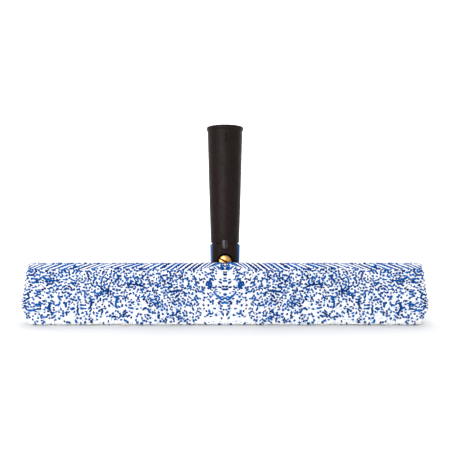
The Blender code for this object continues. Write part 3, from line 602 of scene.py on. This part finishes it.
def sleeve_skin(name, inset):
    """The sleeve's skin: a flared box, open at the back behind a lip, and slotted on top for the handle."""
    back = SLEEVE_BACK - inset
    inner_x, inner_low, inner_high = INNER_X + 2.2 * MM, INNER_LOW - 2.0 * MM, INNER_HIGH + 2.2 * MM
    low, high = SLEEVE_LOW + Vector((0, inset, inset)), SLEEVE_HIGH - Vector((0, 0, inset))
    size = (2 * TOP_CORNER[0], back - low.y, high.z - low.z)
    middle = (0, (back + low.y) / 2, (high.z + low.z) / 2)
    skin = begin(name, bpy.ops.mesh.primitive_cube_add, size=1, location=middle, scale=size)
    levels = {low.z: 0.0, **{z: z for _, z in (SIDE_LOW, FLARE_POINT, SIDE_TOP)}, high.z: SLEEVE_HIGH.z}
    with editing(face_out=True):
        for level in list(levels)[1:-1]:
            cut(Z, level)
        for level, outline in levels.items():
            choose(skin, "VERT", lambda p, _: abs(p.z - level) < 0.01 * MM)
            flared = half_width(outline, inset) / TOP_CORNER[0]
            bpy.ops.transform.resize(value=(flared, 1, 1), center_override=(0, 0, 0))
        # The back: its face becomes a ring, the lip, round the opening.
        for axis, at in ((X, inner_x), (X, -inner_x), (Z, inner_low), (Z, inner_high)):
            choose(skin, "FACE", lambda p, _: p.y > back - 0.01 * MM)
            cut(axis, at, whole=False)
        delete_faces(
            skin,
            lambda p, _: p.y > back - 0.01 * MM and abs(p.x) < inner_x and inner_low < p.z < inner_high,
        )
        # The edges of the front, the ends and the lip are rounded.
        sharp = math.radians(20)
        choose(skin, "EDGE", lambda p, e: len(e.link_faces) == 2 and e.calc_face_angle(0) > sharp)
        bpy.ops.mesh.bevel(offset=ROUNDING, segments=3, affect="EDGES", profile=0.5)
        front = SLOT_FRONT - 0.3 * MM
        for axis, at in ((X, SLOT_HALF), (X, -SLOT_HALF), (Y, front)):
            cut(axis, at)
        delete_faces(skin, lambda p, _: abs(p.x) < SLOT_HALF and p.y > front and p.z > ABOVE_SLOT_FLOOR)
        for x in np.arange(-8, 9) * 20 * MM:
            cut(X, x)
        # The pile stands highest along its front edge, and is pressed down behind it.
        ridge = SLOT_FRONT + 4 * MM
        cut(Y, ridge)
        choose(skin, "VERT", lambda p, _: p.y > ridge - 0.1 * MM and p.z > high.z - 1.5 * ROUNDING)
        bpy.ops.transform.translate(value=(0, 0, -2.4 * MM))
    smooth(skin, 60)
    return skin


def surface_of(obj):
    """An object's points, triangles and vertex normals as arrays, in the same order on every run."""
    mesh = obj.data
    mesh.calc_loop_triangles()
    points = np.empty(3 * len(mesh.vertices), np.float32)
    normals = np.empty(3 * len(mesh.vertices), np.float32)
    triangles = np.empty(3 * len(mesh.loop_triangles), np.int32)
    mesh.vertices.foreach_get("co", points)
    mesh.vertices.foreach_get("normal", normals)
    mesh.loop_triangles.foreach_get("vertices", triangles)
    points, normals = points.reshape(-1, 3).astype(float), normals.reshape(-1, 3).astype(float)
    # The modelling tools can list the same faces in another order, from another corner, on the next run.
    order = np.lexsort(points.T)
    triangles = np.argsort(order)[triangles.reshape(-1, 3)]
    turn = (triangles.argmin(1)[:, None] + np.arange(3)) % 3
    triangles = np.take_along_axis(triangles, turn, 1)
    triangles = triangles[np.lexsort(triangles.T)]
    return points[order], triangles, normals[order]


def spread_over(surface, spacing, rng, allowed):
    """Random places on a surface, none closer than the spacing: (places, normals)."""
    tries_per_loop = 5
    points, triangles, normals = surface
    a, b, c = (points[triangles[:, i]] for i in range(3))
    areas = np.linalg.norm(np.cross(b - a, c - a), axis=1) / 2
    tries = int(areas.sum() / spacing**2 * tries_per_loop)
    chosen = rng.choice(len(triangles), tries, p=areas / areas.sum())
    u, v = rng.random(tries), rng.random(tries)
    over = u + v > 1
    u[over], v[over] = 1 - u[over], 1 - v[over]
    weights = np.stack([1 - u - v, u, v], 1)[:, :, None]
    places = (points[triangles[chosen]] * weights).sum(1)
    directions = (normals[triangles[chosen]] * weights).sum(1)
    directions /= np.linalg.norm(directions, axis=1)[:, None]
    kept, cells = [], {}
    for i in np.flatnonzero(allowed(places)):
        p = places[i]
        cell = (p // spacing).astype(int)
        near = (cells.get(tuple(other), ()) for other in (cell + NEIGHBOURS).tolist())
        if all(((places[j] - p) ** 2).sum() > spacing**2 for group in near for j in group):
            cells.setdefault(tuple(cell.tolist()), []).append(i)
            kept.append(i)
    return places[kept], directions[kept]


def model_yarn(sides, stations):
    """One yarn along X from 0 to 1, a unit thick, with rounded tips."""
    yarn = begin(
        "yarn",
        bpy.ops.mesh.primitive_cylinder_add,
        vertices=sides,
        radius=1,
        depth=1,
        end_fill_type="TRIFAN",
        location=(0.5, 0, 0),
        rotation=(0, math.pi / 2, 0),
    )
    with editing(face_out=True):
        for station in stations[2:-2]:
            cut(X, station)
        for end, inside in ((0, stations[1]), (1, stations[-2])):
            choose(yarn, "VERT", lambda p, _: abs(p.x - end) < 1e-4 and math.hypot(p.y, p.z) > 0.5)
            bpy.ops.transform.translate(value=(inside - end, 0, 0))
        bpy.ops.mesh.select_all(action="SELECT")
        bpy.ops.mesh.quads_convert_to_tris()
    points, triangles, _ = surface_of(yarn)
    bpy.data.objects.remove(yarn)
    stations = np.array(stations)
    return Yarn(stations, points, triangles, np.abs(points[:, :1] - stations).argmin(1))


def unit(vectors):
    return vectors / np.maximum(np.linalg.norm(vectors, axis=-1, keepdims=True), 1e-12)


def in_surface(vectors, normals):
    """Unit vectors along a surface, from vectors that lean out of it."""
    return unit(vectors - normals * (vectors * normals).sum(1)[:, None])


def lay_yarns(yarn, lines, out, widths, taper):
    """Bends a copy of the yarn along each line, which holds a point per station: a row of points per copy.

    The taper is (places along the yarn, shares of its width), and out is the way the lines' surface faces.
    """
    forward = unit(np.gradient(lines, axis=1))
    side = unit(np.cross(np.broadcast_to(out, lines.shape), forward))
    upward = np.cross(forward, side)
    across = yarn.points[None, :, 1, None] * side[:, yarn.station] * widths[:, None, None]
    above = yarn.points[None, :, 2, None] * upward[:, yarn.station] * widths[:, None, None]
    thickness = np.interp(yarn.stations, *taper)[yarn.station][None, :, None]
    return lines[:, yarn.station] + (across + above) * thickness


def add_loops(name, finish, yarn, copies, rng):
    """A pile piece from bent yarns and their mirror images, each yarn with its own shade."""
    loops, per_loop, _ = copies.shape
    shade = np.repeat(rng.beta(1.6, 1.6, loops), per_loop)
    triangles = (yarn.triangles + np.arange(loops)[:, None, None] * per_loop).reshape(-1, 3)
    points = copies.reshape(-1, 3)
    both = np.concatenate([points, points * np.array([-1, 1, 1])])
    triangles = np.concatenate([triangles, triangles[:, ::-1] + len(points)])
    dress_on_sleeve(mesh_of(name, both, triangles, np.concatenate([shade, shade])), finish)


def loop_directions(places, normals, rng):
    """The way each loop lies: at random, fanned out at the ends, and in arcs below the handle."""
    fan, ring, arc_middle = 22 * MM, 34 * MM, SLEEVE_HIGH.z - 6 * MM
    lean = math.radians(38)
    along = np.tile([1.0, 0.0, 0.0], (len(places), 1))
    along[np.abs(normals[:, 0]) > 0.8] = [0.0, 1.0, 0.0]
    first = in_surface(along, normals)
    second = np.cross(normals, first)
    angle = rng.uniform(0, math.pi, len(places))
    near_end = (places[:, 0] > SLEEVE_END - fan) & (rng.random(len(places)) < 0.8)
    angle[near_end] = rng.normal(0, 0.4, near_end.sum())
    middle = np.hypot(places[:, 0], places[:, 2] - (SLEEVE_HIGH.z - 8 * MM)) < ring
    middle &= normals[:, 1] < -0.7
    swirl = middle & (rng.random(len(places)) < 0.65)
    vee = middle & (places[:, 0] < 22 * MM) & (places[:, 2] > SLEEVE_HIGH.z - 14 * MM)
    # The arcs are circles about a point under the pivot, and the loops above it make a V.
    around = np.arctan2(-places[:, 0], places[:, 2] - arc_middle)
    up = (second[:, 2] > 0) * 2 - 1
    angle[swirl] = around[swirl] * up[swirl] + rng.normal(0, 0.22, swirl.sum())
    angle[vee] = up[vee] * (lean + rng.normal(0, 0.15, vee.sum()))
    return unit(first * np.cos(angle)[:, None] + second * np.sin(angle)[:, None])


def surface_yarns(yarn, beds, width, lift, pile_height, rng):
    """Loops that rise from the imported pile, lie along their direction and go back down.

    The beds are arrays with a row per loop: its place, the normal there, its direction and its length.
    """
    places, normals, directions, sizes = beds
    across = np.cross(normals, directions)
    s = yarn.stations[None, :, None] - 0.5
    curl = rng.normal(0, 0.22, len(places))[:, None, None]
    lines = places[:, None] + directions[:, None] * s * sizes[:, None, None]
    lines = lines + across[:, None] * (s**2 - 0.1) * curl * sizes[:, None, None] * 2
    rise = pile_height * (1.0 - (2 * np.abs(s)) ** 2.6 * 1.7)
    loose = np.abs(rng.normal(0, 0.5 * MM, len(places))) * (np.abs(normals[:, 0]) > 0.6)
    rise = rise + loose[:, None, None]
    uneven = rng.normal(0, 0.12 * MM, (len(places), 1, 1))
    lines = lines + normals[:, None] * (rise - width * 0.42 + lift + uneven)
    widths = width / 2 * rng.uniform(0.72, 1.2, len(places))
    # The tool stands on the pile, so no loop dips below it.
    lines[..., 2] = np.maximum(lines[..., 2], widths[:, None])
    taper = ([0, 0.15, 0.5, 0.85, 1], [0.3, 0.75, 1.0, 0.75, 0.3])
    return lay_yarns(yarn, lines, normals[:, None], widths, taper)


class WASHER_OT_pile(bpy.types.Operator):
    """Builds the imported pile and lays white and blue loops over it, the same on both halves"""

    bl_idname = "washer.pile"
    bl_label = "Sleeve pile"

    def execute(self, context):
        settings = context.scene.washer_sleeve
        rng = np.random.default_rng(SEED)
        skin = sleeve_skin("packed_pile", settings.pile_height + 0.1 * MM)
        surface = surface_of(skin)
        yarn = model_yarn(5, [0.0, 0.12, 0.37, 0.63, 0.88, 1.0])
        white_size = (settings.spacing, settings.yarn_width, 0.0)
        blue_size = (settings.blue_spacing, settings.blue_width, 0.45 * MM)
        self.lay_coat("white", yarn, surface, white_size, settings, rng)
        blue = self.lay_coat("blue", yarn, surface, blue_size, settings, rng)
        yarn = model_yarn(6, [0.0, 0.06, 0.2, 0.4, 0.6, 0.8, 0.94, 1.0])
        self.lay_strays(yarn, blue, settings, rng)
        self.lay_marks(yarn, settings, rng)
        add_modifier(skin, "SOLIDIFY", thickness=3.4 * MM, offset=-1.0)
        dress_on_sleeve(skin, "pile_depth")
        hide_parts("washer_sleeve")
        return {"FINISHED"}

    def clear_of_slot(self, places):
        """Which places lie on the right half and away from the handle's slot."""
        by_slot = (places[:, 0] < SLOT_HALF + 1.4 * MM) & (places[:, 1] > SLOT_FRONT - 1.6 * MM)
        return (places[:, 0] > 0.4 * MM) & ~(by_slot & (places[:, 2] > ABOVE_SLOT_FLOOR))

    def lay_coat(self, shade, yarn, surface, size, settings, rng):
        """Covers the sleeve with the loops of one colour, of a (spacing, width, lift). Returns their beds."""
        spacing, width, lift = size
        places, normals = spread_over(surface, spacing, rng, self.clear_of_slot)
        if shade == "blue":
            chance = np.interp(places[:, 2], *BLUE_UP_THE_FACE)
            chance *= np.interp(np.abs(places[:, 0]), *BLUE_FROM_THE_MIDDLE)
            kept = rng.random(len(places)) < settings.blue_share * chance
            places, normals = places[kept], normals[kept]
        directions = loop_directions(places, normals, rng)
        # Loops beside the slot run along its edge.
        by_slot = (places[:, 0] < SLOT_HALF + 4 * MM) & (places[:, 1] > SLOT_FRONT)
        directions[by_slot & (places[:, 2] > ABOVE_SLOT_FLOOR)] = [0, 1, 0]
        directions = in_surface(directions, normals)
        short = rng.random(len(places)) < settings.short_share
        short_ones, long_ones = rng.uniform(0.4, 0.65, len(places)), rng.uniform(0.7, 1.2, len(places))
        sizes = settings.loop_length * np.where(short, short_ones, long_ones)
        sizes *= np.interp(places[:, 2], [0, 14 * MM], [0.75, 1.0])
        beds = (places, normals, directions, sizes)
        front = normals[:, 1] < -0.5
        for zone, chosen in (("front", front), ("rest", ~front)):
            rows = np.flatnonzero(chosen)
            parts = math.ceil(len(rows) * 2 * len(yarn.triangles) / MOST_TRIANGLES)
            for part, group in enumerate(np.array_split(rows, parts)):
                chosen_beds = [rows_of[group] for rows_of in beds]
                copies = surface_yarns(yarn, chosen_beds, width, lift, settings.pile_height, rng)
                add_loops(f"pile_{shade}_{zone}_{part + 1}", f"{shade}_yarn", yarn, copies, rng)
        return beds

    def lay_strays(self, yarn, beds, settings, rng):
        """Lays a few long loops over the front, in places that other loops have."""
        places, normals, directions, _ = beds
        x, _, z = places.T
        far = (normals[:, 1] < -0.5) & (z > 12 * MM) & (z < 46 * MM) & (x > 10 * MM)
        group = rng.choice(np.flatnonzero(far), settings.long_loops, replace=False)
        sizes = settings.loop_length * rng.uniform(1.7, 2.6, len(group))
        chosen_beds = (places[group], normals[group], directions[group], sizes)
        copies = surface_yarns(yarn, chosen_beds, settings.blue_width, 0.3 * MM, settings.pile_height, rng)
        add_loops("pile_blue_strays", "blue_yarn", yarn, copies, rng)

    def lay_marks(self, yarn, settings, rng):
        """Lays the long yarns that stand out on the front: a bow under the handle, brows, and end tufts."""
        front = SLEEVE_LOW.y + settings.pile_height * 0.6
        sink = 0.8 * MM * (2 * np.abs(yarn.stations - 0.5)) ** 6
        lines = []
        for mark in LONG_MARKS:
            xs, zs = np.array(mark).T * MM
            run = np.concatenate([[0], np.cumsum(np.hypot(np.diff(xs), np.diff(zs)))])
            at = yarn.stations * run[-1]
            lines.append(np.stack([np.interp(at, run, xs), front + sink, np.interp(at, run, zs)], 1))
        widths = settings.blue_width / 2 * rng.uniform(0.85, 1.1, len(lines))
        taper = ([0, 0.15, 0.5, 0.85, 1], [0.4, 0.85, 1.0, 0.85, 0.4])
        copies = lay_yarns(yarn, np.array(lines), [0.0, -1.0, 0.0], widths, taper)
        add_loops("pile_blue_marks", "blue_yarn", yarn, copies, rng)


class WASHER_OT_edge_yarns(bpy.types.Operator):
    """Combs long yarns slantwise over the sleeve's top front edge, blue and white by turns"""

    bl_idname = "washer.edge_yarns"
    bl_label = "Edge yarns"

    def execute(self, context):
        settings = context.scene.washer_sleeve
        rng = np.random.default_rng(SEED + 1)
        yarn = model_yarn(6, [0.0, 0.05, 0.15, 0.27, 0.4, 0.52, 0.64, 0.76, 0.87, 0.95, 1.0])
        starts = [-4 * MM]
        while starts[-1] < TOP_CORNER[0] - 5 * MM:
            starts.append(starts[-1] + settings.edge_pitch * float(np.interp(starts[-1], *EDGE_PITCHES)))
        rows = [self.line(start, yarn.stations, rng) for start in starts]
        lines, out = (np.array(parts) for parts in zip(*rows))
        widths = settings.edge_width / 2 * rng.uniform(0.9, 1.1, len(lines))
        widths[::2] *= 1.2
        taper = ([0, 0.1, 0.5, 0.9, 1], [0.25, 0.8, 1.0, 0.8, 0.25])
        copies = lay_yarns(yarn, lines, out, widths, taper)
        add_loops("edge_yarns_blue", "blue_yarn", yarn, copies[::2], rng)
        add_loops("edge_yarns_white", "white_yarn", yarn, copies[1::2], rng)
        return {"FINISHED"}

    def line(self, start, s, rng):
        """A yarn's line from its foot on the front to its top: (points, the way the surface faces there)."""
        nearest = 0.3 * MM  # to the middle
        front, top = SLEEVE_LOW.y + 0.25 * MM, SLEEVE_HIGH.z - 0.9 * MM
        over_top = 2.4 * MM  # how far it runs back on the top
        bulge = 1.1 * MM * math.exp(-((start / (40 * MM)) ** 2))  # the pile stands higher near the handle
        run = float(np.interp(start, *EDGE_RUNS))
        # The last ones end at the sleeve's side, and keep their slant.
        reach = min(1.0, (TOP_CORNER[0] - 0.5 * MM - start) / run)
        drop = reach * float(np.interp(start, *EDGE_DROPS)) + rng.normal(0, 0.35 * MM)
        inner = max(start, nearest)
        x = inner + (start + run * reach - inner) * (1 - s) + rng.normal(0, nearest)
        # Along the front, over the rounded corner and back on the top: level at its ends, steeper between.
        travel = (0.5 * s + 0.5 * s**2 * (3 - 2 * s)) * (drop + over_top) - drop
        before, after = 0.9 * ROUNDING, 0.3 * ROUNDING  # the rounded corner's share of the travel
        turn = np.clip((travel + before) / (before + after), 0, 1) * math.pi / 2
        y = front + ROUNDING * (1 - np.cos(turn)) + np.maximum(travel - after, 0)
        z = top - ROUNDING * (1 - np.sin(turn)) + bulge + np.minimum(travel + before, 0)
        out = np.stack([np.zeros_like(s), -np.cos(turn), np.sin(turn)], 1)
        x = np.clip(x, nearest, half_width(z, 1.0 * MM) - np.linspace(0, 2 * MM, len(s)))
        sink = 0.9 * MM * (2 * np.abs(s - 0.5)) ** 4
        return np.stack([x, y, z], 1) - out * sink[:, None], out


class WASHER_OT_binding(bpy.types.Operator):
    """Runs a binding cord round the sleeve's opening and the slot"""

    bl_idname = "washer.binding"
    bl_label = "Edge binding"

    def execute(self, context):
        rounding, steps = 3.0 * MM, 5
        x0, x1 = SLOT_HALF + 1.0 * MM, INNER_X + 2.6 * MM
        y0, y1 = SLOT_FRONT - 0.6 * MM, SLEEVE_BACK - 0.9 * MM
        z0, z1 = INNER_LOW - 2.6 * MM, INNER_HIGH + 2.6 * MM
        right = [(x0, y0, z1), (x0, y1, z1), (x1, y1, z1), (x1, y1, z0)]
        corners = [Vector(corner) for corner in right + [(-x, y, z) for x, y, z in reversed(right)]]
        line = []
        for i, here in enumerate(corners):
            before = (corners[i - 1] - here).normalized() * rounding
            after = (corners[(i + 1) % len(corners)] - here).normalized() * rounding
            for t in (step / steps for step in range(steps + 1)):
                line.append(here + before * (1 - t) ** 2 + after * t**2)
        curve = bpy.data.curves.new("edge_binding", "CURVE")
        curve.dimensions = "3D"
        curve.bevel_depth = 1.3 * MM
        curve.bevel_resolution = 3
        curve.resolution_u = 1
        spline = curve.splines.new("POLY")
        spline.points.add(len(line) - 1)
        for point, place in zip(spline.points, line):
            point.co = (*place, 1)
        spline.use_cyclic_u = True
        pick(add_object("edge_binding", curve))
        bpy.ops.object.convert(target="MESH")
        binding = bpy.context.object
        binding.name = "edge_binding"
        smooth(binding, 60)
        dress_on_sleeve(binding, "binding")
        return {"FINISHED"}


class WASHER_OT_backing(bpy.types.Operator):
    """Sews the sleeve's woven backing, which holds its pile and its binding"""

    bl_idname = "washer.backing"
    bl_label = "Sleeve backing"

    def execute(self, context):
        gap = 0.2 * MM
        depth = SLEEVE_BACK - SLOT_FRONT - 1.0 * MM
        half, tall = INNER_X + gap, INNER_HIGH - INNER_LOW + 2 * gap
        front, low = SLOT_FRONT - gap, INNER_LOW - gap
        slot_half, slot_front = SLOT_HALF + 0.4 * MM, SLOT_FRONT + 0.6 * MM
        backing = begin(
            "sleeve_backing",
            bpy.ops.mesh.primitive_cube_add,
            size=1,
            location=(0, front + depth / 2, low + tall / 2),
            scale=(2 * half, depth, tall),
        )
        with editing():
            delete_faces(backing, lambda p, f: f.normal.y > 0.9)
            choose(backing, "EDGE", lambda p, e: len(e.link_faces) == 2)
            bpy.ops.mesh.bevel(offset=2.0 * MM, segments=3, affect="EDGES")
            for axis, at in ((X, -slot_half), (X, slot_half), (Y, slot_front)):
                cut(axis, at)
            delete_faces(
                backing,
                lambda p, _: abs(p.x) < slot_half and p.y > slot_front and p.z > ABOVE_SLOT_FLOOR,
            )
        add_modifier(backing, "SOLIDIFY", thickness=1.2 * MM, offset=1.0)
        smooth(backing)
        dress(backing, "backing", "head")
        return {"FINISHED"}


# ---------------------------------------------------------------- the handle


def cad_profile(node):
    """The outer radius of a CAD piece turned about the pivot's vertical, as (z, radius) going up."""
    points = np.array([v.co for v in frame["nodes"][node].data.vertices])
    heights = np.round(points[:, 2], 5)
    radii = np.hypot(points[:, 0], points[:, 1])
    levels, counts = np.unique(heights, return_counts=True)
    return [(z, radii[heights == z].max()) for z in levels[counts >= WHOLE_RING]]


def raised_mark(name, finish, face, z, size, rise, crest):
    """A rounded pad on the handle's front, a little sunk in it. A crest makes it slope off to both sides."""
    wide, tall = size
    sunk = 0.5 * MM
    mark = begin(
        name,
        bpy.ops.mesh.primitive_cube_add,
        size=1,
        location=(0, face + (sunk - rise) / 2, z),
        scale=(wide, sunk + rise, tall),
    )
    with editing():
        choose(mark, "EDGE", lambda p, e: abs(e.verts[0].co.y - e.verts[1].co.y) > 0.1 * MM)
        bpy.ops.mesh.bevel(offset=wide * 0.42, segments=4, affect="EDGES")
        choose(mark, "FACE", lambda p, f: f.normal.y < -0.9)
        bpy.ops.mesh.bevel(offset=rise * 0.5, segments=2, affect="EDGES")
        if crest:
            cut(X, 0)
            choose(mark, "VERT", lambda p, _: abs(p.x) < 0.01 * MM and p.y < face - 0.9 * rise)
            bpy.ops.transform.translate(value=(0, -crest, 0))
            bpy.ops.transform.resize(value=(1, 1, 0.8), center_override=(0, 0, z))
    smooth(mark, 20 if crest else 60)
    dress(mark, finish, "handle")


class WASHER_OT_grip(bpy.types.Operator):
    """Turns the rubber grip with its rounded lip, and raises the ridge and bars on its front"""

    bl_idname = "washer.grip"
    bl_label = "Rubber grip"

    def execute(self, context):
        settings = context.scene.washer_handle
        profile = cad_profile("rubber_grip")
        wall, ease = 2.5 * MM, 0.7 * MM
        (low_z, low_r), top_z = profile[0], profile[-1][0]
        body, lip_r = profile[:-LIP_LEVELS], profile[-2][1]
        swell = settings.swell / (body[-1][0] - low_z)
        # Up the outside from a rounded lower edge, round the lip, and down the inside.
        rings = [(low_z, low_r - ease), (low_z + 0.2 * ease, low_r - 0.3 * ease), (low_z + ease, low_r)]
        rings += [(z, r + swell * (z - low_z)) for z, r in body[1:]]
        body_r = rings[-1][1]
        rings += [(top_z - drop, body_r + (lip_r - body_r) * part) for drop, part in LIP_BEAD]
        rings += [(top_z, CORE_HIGH.x + 0.3 * MM), (low_z, low_r - wall)]
        grip = begin(
            "rubber_grip_soft",
            bpy.ops.mesh.primitive_circle_add,
            vertices=96,
            radius=rings[0][1],
            location=(0, 0, rings[0][0]),
        )
        with editing(face_out=True):
            bpy.ops.mesh.select_all(action="SELECT")
            for (z, r), (next_z, next_r) in zip(rings, rings[1:]):
                bpy.ops.mesh.extrude_edges_move(TRANSFORM_OT_translate={"value": (0, 0, next_z - z)})
                bpy.ops.transform.resize(value=(next_r / r, next_r / r, 1), center_override=(0, 0, next_z))
            choose(grip, "EDGE", lambda p, e: len(e.link_faces) == 1)
            bpy.ops.mesh.bridge_edge_loops()
        smooth(grip, 50)
        dress(grip, "grip_rubber", "handle")
        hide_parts("rubber_grip")
        # A short upright ridge below the lip, and plain bars down the front.
        heights, radii = zip(*profile)
        for name, drop, size, rise, crest in GRIP_MARKS:
            z = top_z - drop
            swollen = settings.swell * (z - low_z) / (top_z - low_z)
            face = -(float(np.interp(z, heights, radii)) + swollen)
            raised_mark(name, "grip_rubber", face, z, size, getattr(settings, rise), crest)
        return {"FINISHED"}


class WASHER_OT_fork(bpy.types.Operator):
    """Rounds the edges of the handle's fork and socket, and raises the oval key's roofed face"""

    bl_idname = "washer.fork"
    bl_label = "Handle core"

    def execute(self, context):
        settings = context.scene.washer_handle
        core = softened_copy("handle_core", "_moulded", settings.edge_radius, 35)
        dress(core, "black_plastic", "handle")
        size = (5.4 * MM, 8.0 * MM)
        raised_mark("core_key", "rubbed_rubber", CORE_LOW.y, KEY_HEIGHT, size, 0.3 * MM, settings.key_height)
        return {"FINISHED"}


def finish_pieces(pieces, body):
    """Rounds the edges of CAD pieces and gives them their finishes."""
    for node, ending, finish, radius in pieces:
        dress(softened_copy(node, ending, radius), finish, body)
    return {"FINISHED"}


class WASHER_OT_pivot(bpy.types.Operator):
    """Finishes the pivot screw, its nut and its washers"""

    bl_idname = "washer.pivot"
    bl_label = "Pivot fasteners"

    def execute(self, context):
        return finish_pieces(FASTENERS, "handle")


# ---------------------------------------------------------------- the head


class WASHER_OT_mouldings(bpy.types.Operator):
    """Rounds the edges of the T-bar, its end caps and the blade carrier"""

    bl_idname = "washer.mouldings"
    bl_label = "Head mouldings"

    def execute(self, context):
        radius = context.scene.washer_head.edge_radius
        return finish_pieces([(node, "_moulded", "blue_plastic", radius) for node in MOULDINGS], "head")


class WASHER_OT_blade(bpy.types.Operator):
    """Finishes the squeegee channel, its rubber, its end clips and the carrier's screws"""

    bl_idname = "washer.blade"
    bl_label = "Squeegee blade"

    def execute(self, context):
        return finish_pieces(BLADE_PIECES, "head")


class WASHER_OT_inside(bpy.types.Operator):
    """Gives the hidden pieces that stay as they are their finishes"""

    bl_idname = "washer.inside"
    bl_label = "Hidden pieces"

    def execute(self, context):
        for node, finish in HIDDEN.items():
            frame["nodes"][node].material_slots[0].material = FINISHES[finish]
        return {"FINISHED"}


# ---------------------------------------------------------------- the stage


class WASHER_OT_stage(bpy.types.Operator):
    """Sets the pale floor, the soft lights and the camera"""

    bl_idname = "washer.stage"
    bl_label = "Stage"

    def execute(self, context):
        settings = context.scene.washer_stage
        paper = Finish("white_paper", Roughness=0.9, Base_Color="#E6E6E6", Specular_IOR_Level=0.0)
        glowing = Finish("lit_white_backdrop", Roughness=0.9, Emission_Color="#FFFFFF")
        glowing.surface(Emission_Strength=settings.backdrop)
        upright = (math.pi / 2, 0, 0)
        floor = self.plane("floor", paper, size=8.0, location=(0, 0, -0.02 * MM))
        backdrop = self.plane("backdrop", glowing, size=6.0, location=(0, 2.0, 2.0), rotation=upright)
        world = bpy.data.worlds.new("white_room")
        world.use_nodes = True
        background = world.node_tree.nodes["Background"]
        background.inputs["Color"].default_value = (1, 1, 1, 1)
        background.inputs["Strength"].default_value = settings.world
        context.scene.world = world
        soft_box = bpy.data.lights.new("front_soft_box", "AREA")
        soft_box.shape = "RECTANGLE"
        soft_box.size, soft_box.size_y = 0.45, 0.7
        soft_box.energy = settings.front
        lamp = add_object("front_soft_box", soft_box)
        lamp.location = (-0.42, -1.1, 0.3)
        lamp.rotation_euler = (Vector((0, 0, 0.09)) - lamp.location).to_track_quat("-Z", "Y").to_euler()
        diffuser = bpy.data.lights.new("overhead_diffuser", "SUN")
        diffuser.energy = settings.top
        diffuser.angle = math.radians(50)
        add_object("overhead_diffuser", diffuser).rotation_euler = (math.radians(-18), 0, 0)
        camera = bpy.data.cameras.new("camera")
        camera.lens = settings.lens
        camera.clip_start = 0.01
        view = add_object("camera", camera)
        view.location = (0, -settings.camera_distance, settings.camera_height)
        view.rotation_euler = upright
        context.scene.camera = view
        context.scene.view_settings.view_transform = "Standard"
        return {"FINISHED"}

    def plane(self, name, finish, **place):
        """A plain surface for the stage."""
        plane = begin(name, bpy.ops.mesh.primitive_plane_add, **place)
        plane.data.materials.append(finish.material)
        return plane


# ---------------------------------------------------------------- add-on


class WASHER_PT_panel(bpy.types.Panel):
    """Lists the pieces and their settings in the sidebar"""

    bl_idname = "WASHER_PT_panel"
    bl_label = "Window washer"
    bl_space_type = "VIEW_3D"
    bl_region_type = "UI"
    bl_category = "Washer"

    def draw(self, context):
        for group in SETTINGS:
            box = self.layout.box()
            values = getattr(context.scene, group)
            for name in values.bl_rna.properties.keys():
                if name not in ("rna_type", "name"):
                    box.prop(values, name)
        for operator in OPERATORS:
            self.layout.operator(operator.bl_idname)


SETTINGS = {
    "washer_sleeve": SleeveSettings,
    "washer_handle": HandleSettings,
    "washer_head": HeadSettings,
    "washer_stage": StageSettings,
}
OPERATORS = [
    WASHER_OT_pile,
    WASHER_OT_edge_yarns,
    WASHER_OT_binding,
    WASHER_OT_backing,
    WASHER_OT_grip,
    WASHER_OT_fork,
    WASHER_OT_pivot,
    WASHER_OT_mouldings,
    WASHER_OT_blade,
    WASHER_OT_inside,
    WASHER_OT_stage,
]
CLASSES = [*SETTINGS.values(), *OPERATORS, WASHER_PT_panel]


def register():
    for group in CLASSES:
        bpy.utils.register_class(group)
    for name, group in SETTINGS.items():
        setattr(bpy.types.Scene, name, PointerProperty(type=group))


def unregister():
    for name in SETTINGS:
        delattr(bpy.types.Scene, name)
    for group in reversed(CLASSES):
        bpy.utils.unregister_class(group)


def main():
    register()
    scene = bpy.context.scene
    FINISHES.update(make_finishes(scene.washer_head, scene.washer_sleeve, scene.washer_handle))
    for operator in OPERATORS:
        group, name = operator.bl_idname.split(".")
        getattr(getattr(bpy.ops, group), name)()


if __name__ == "__main__":
    main()
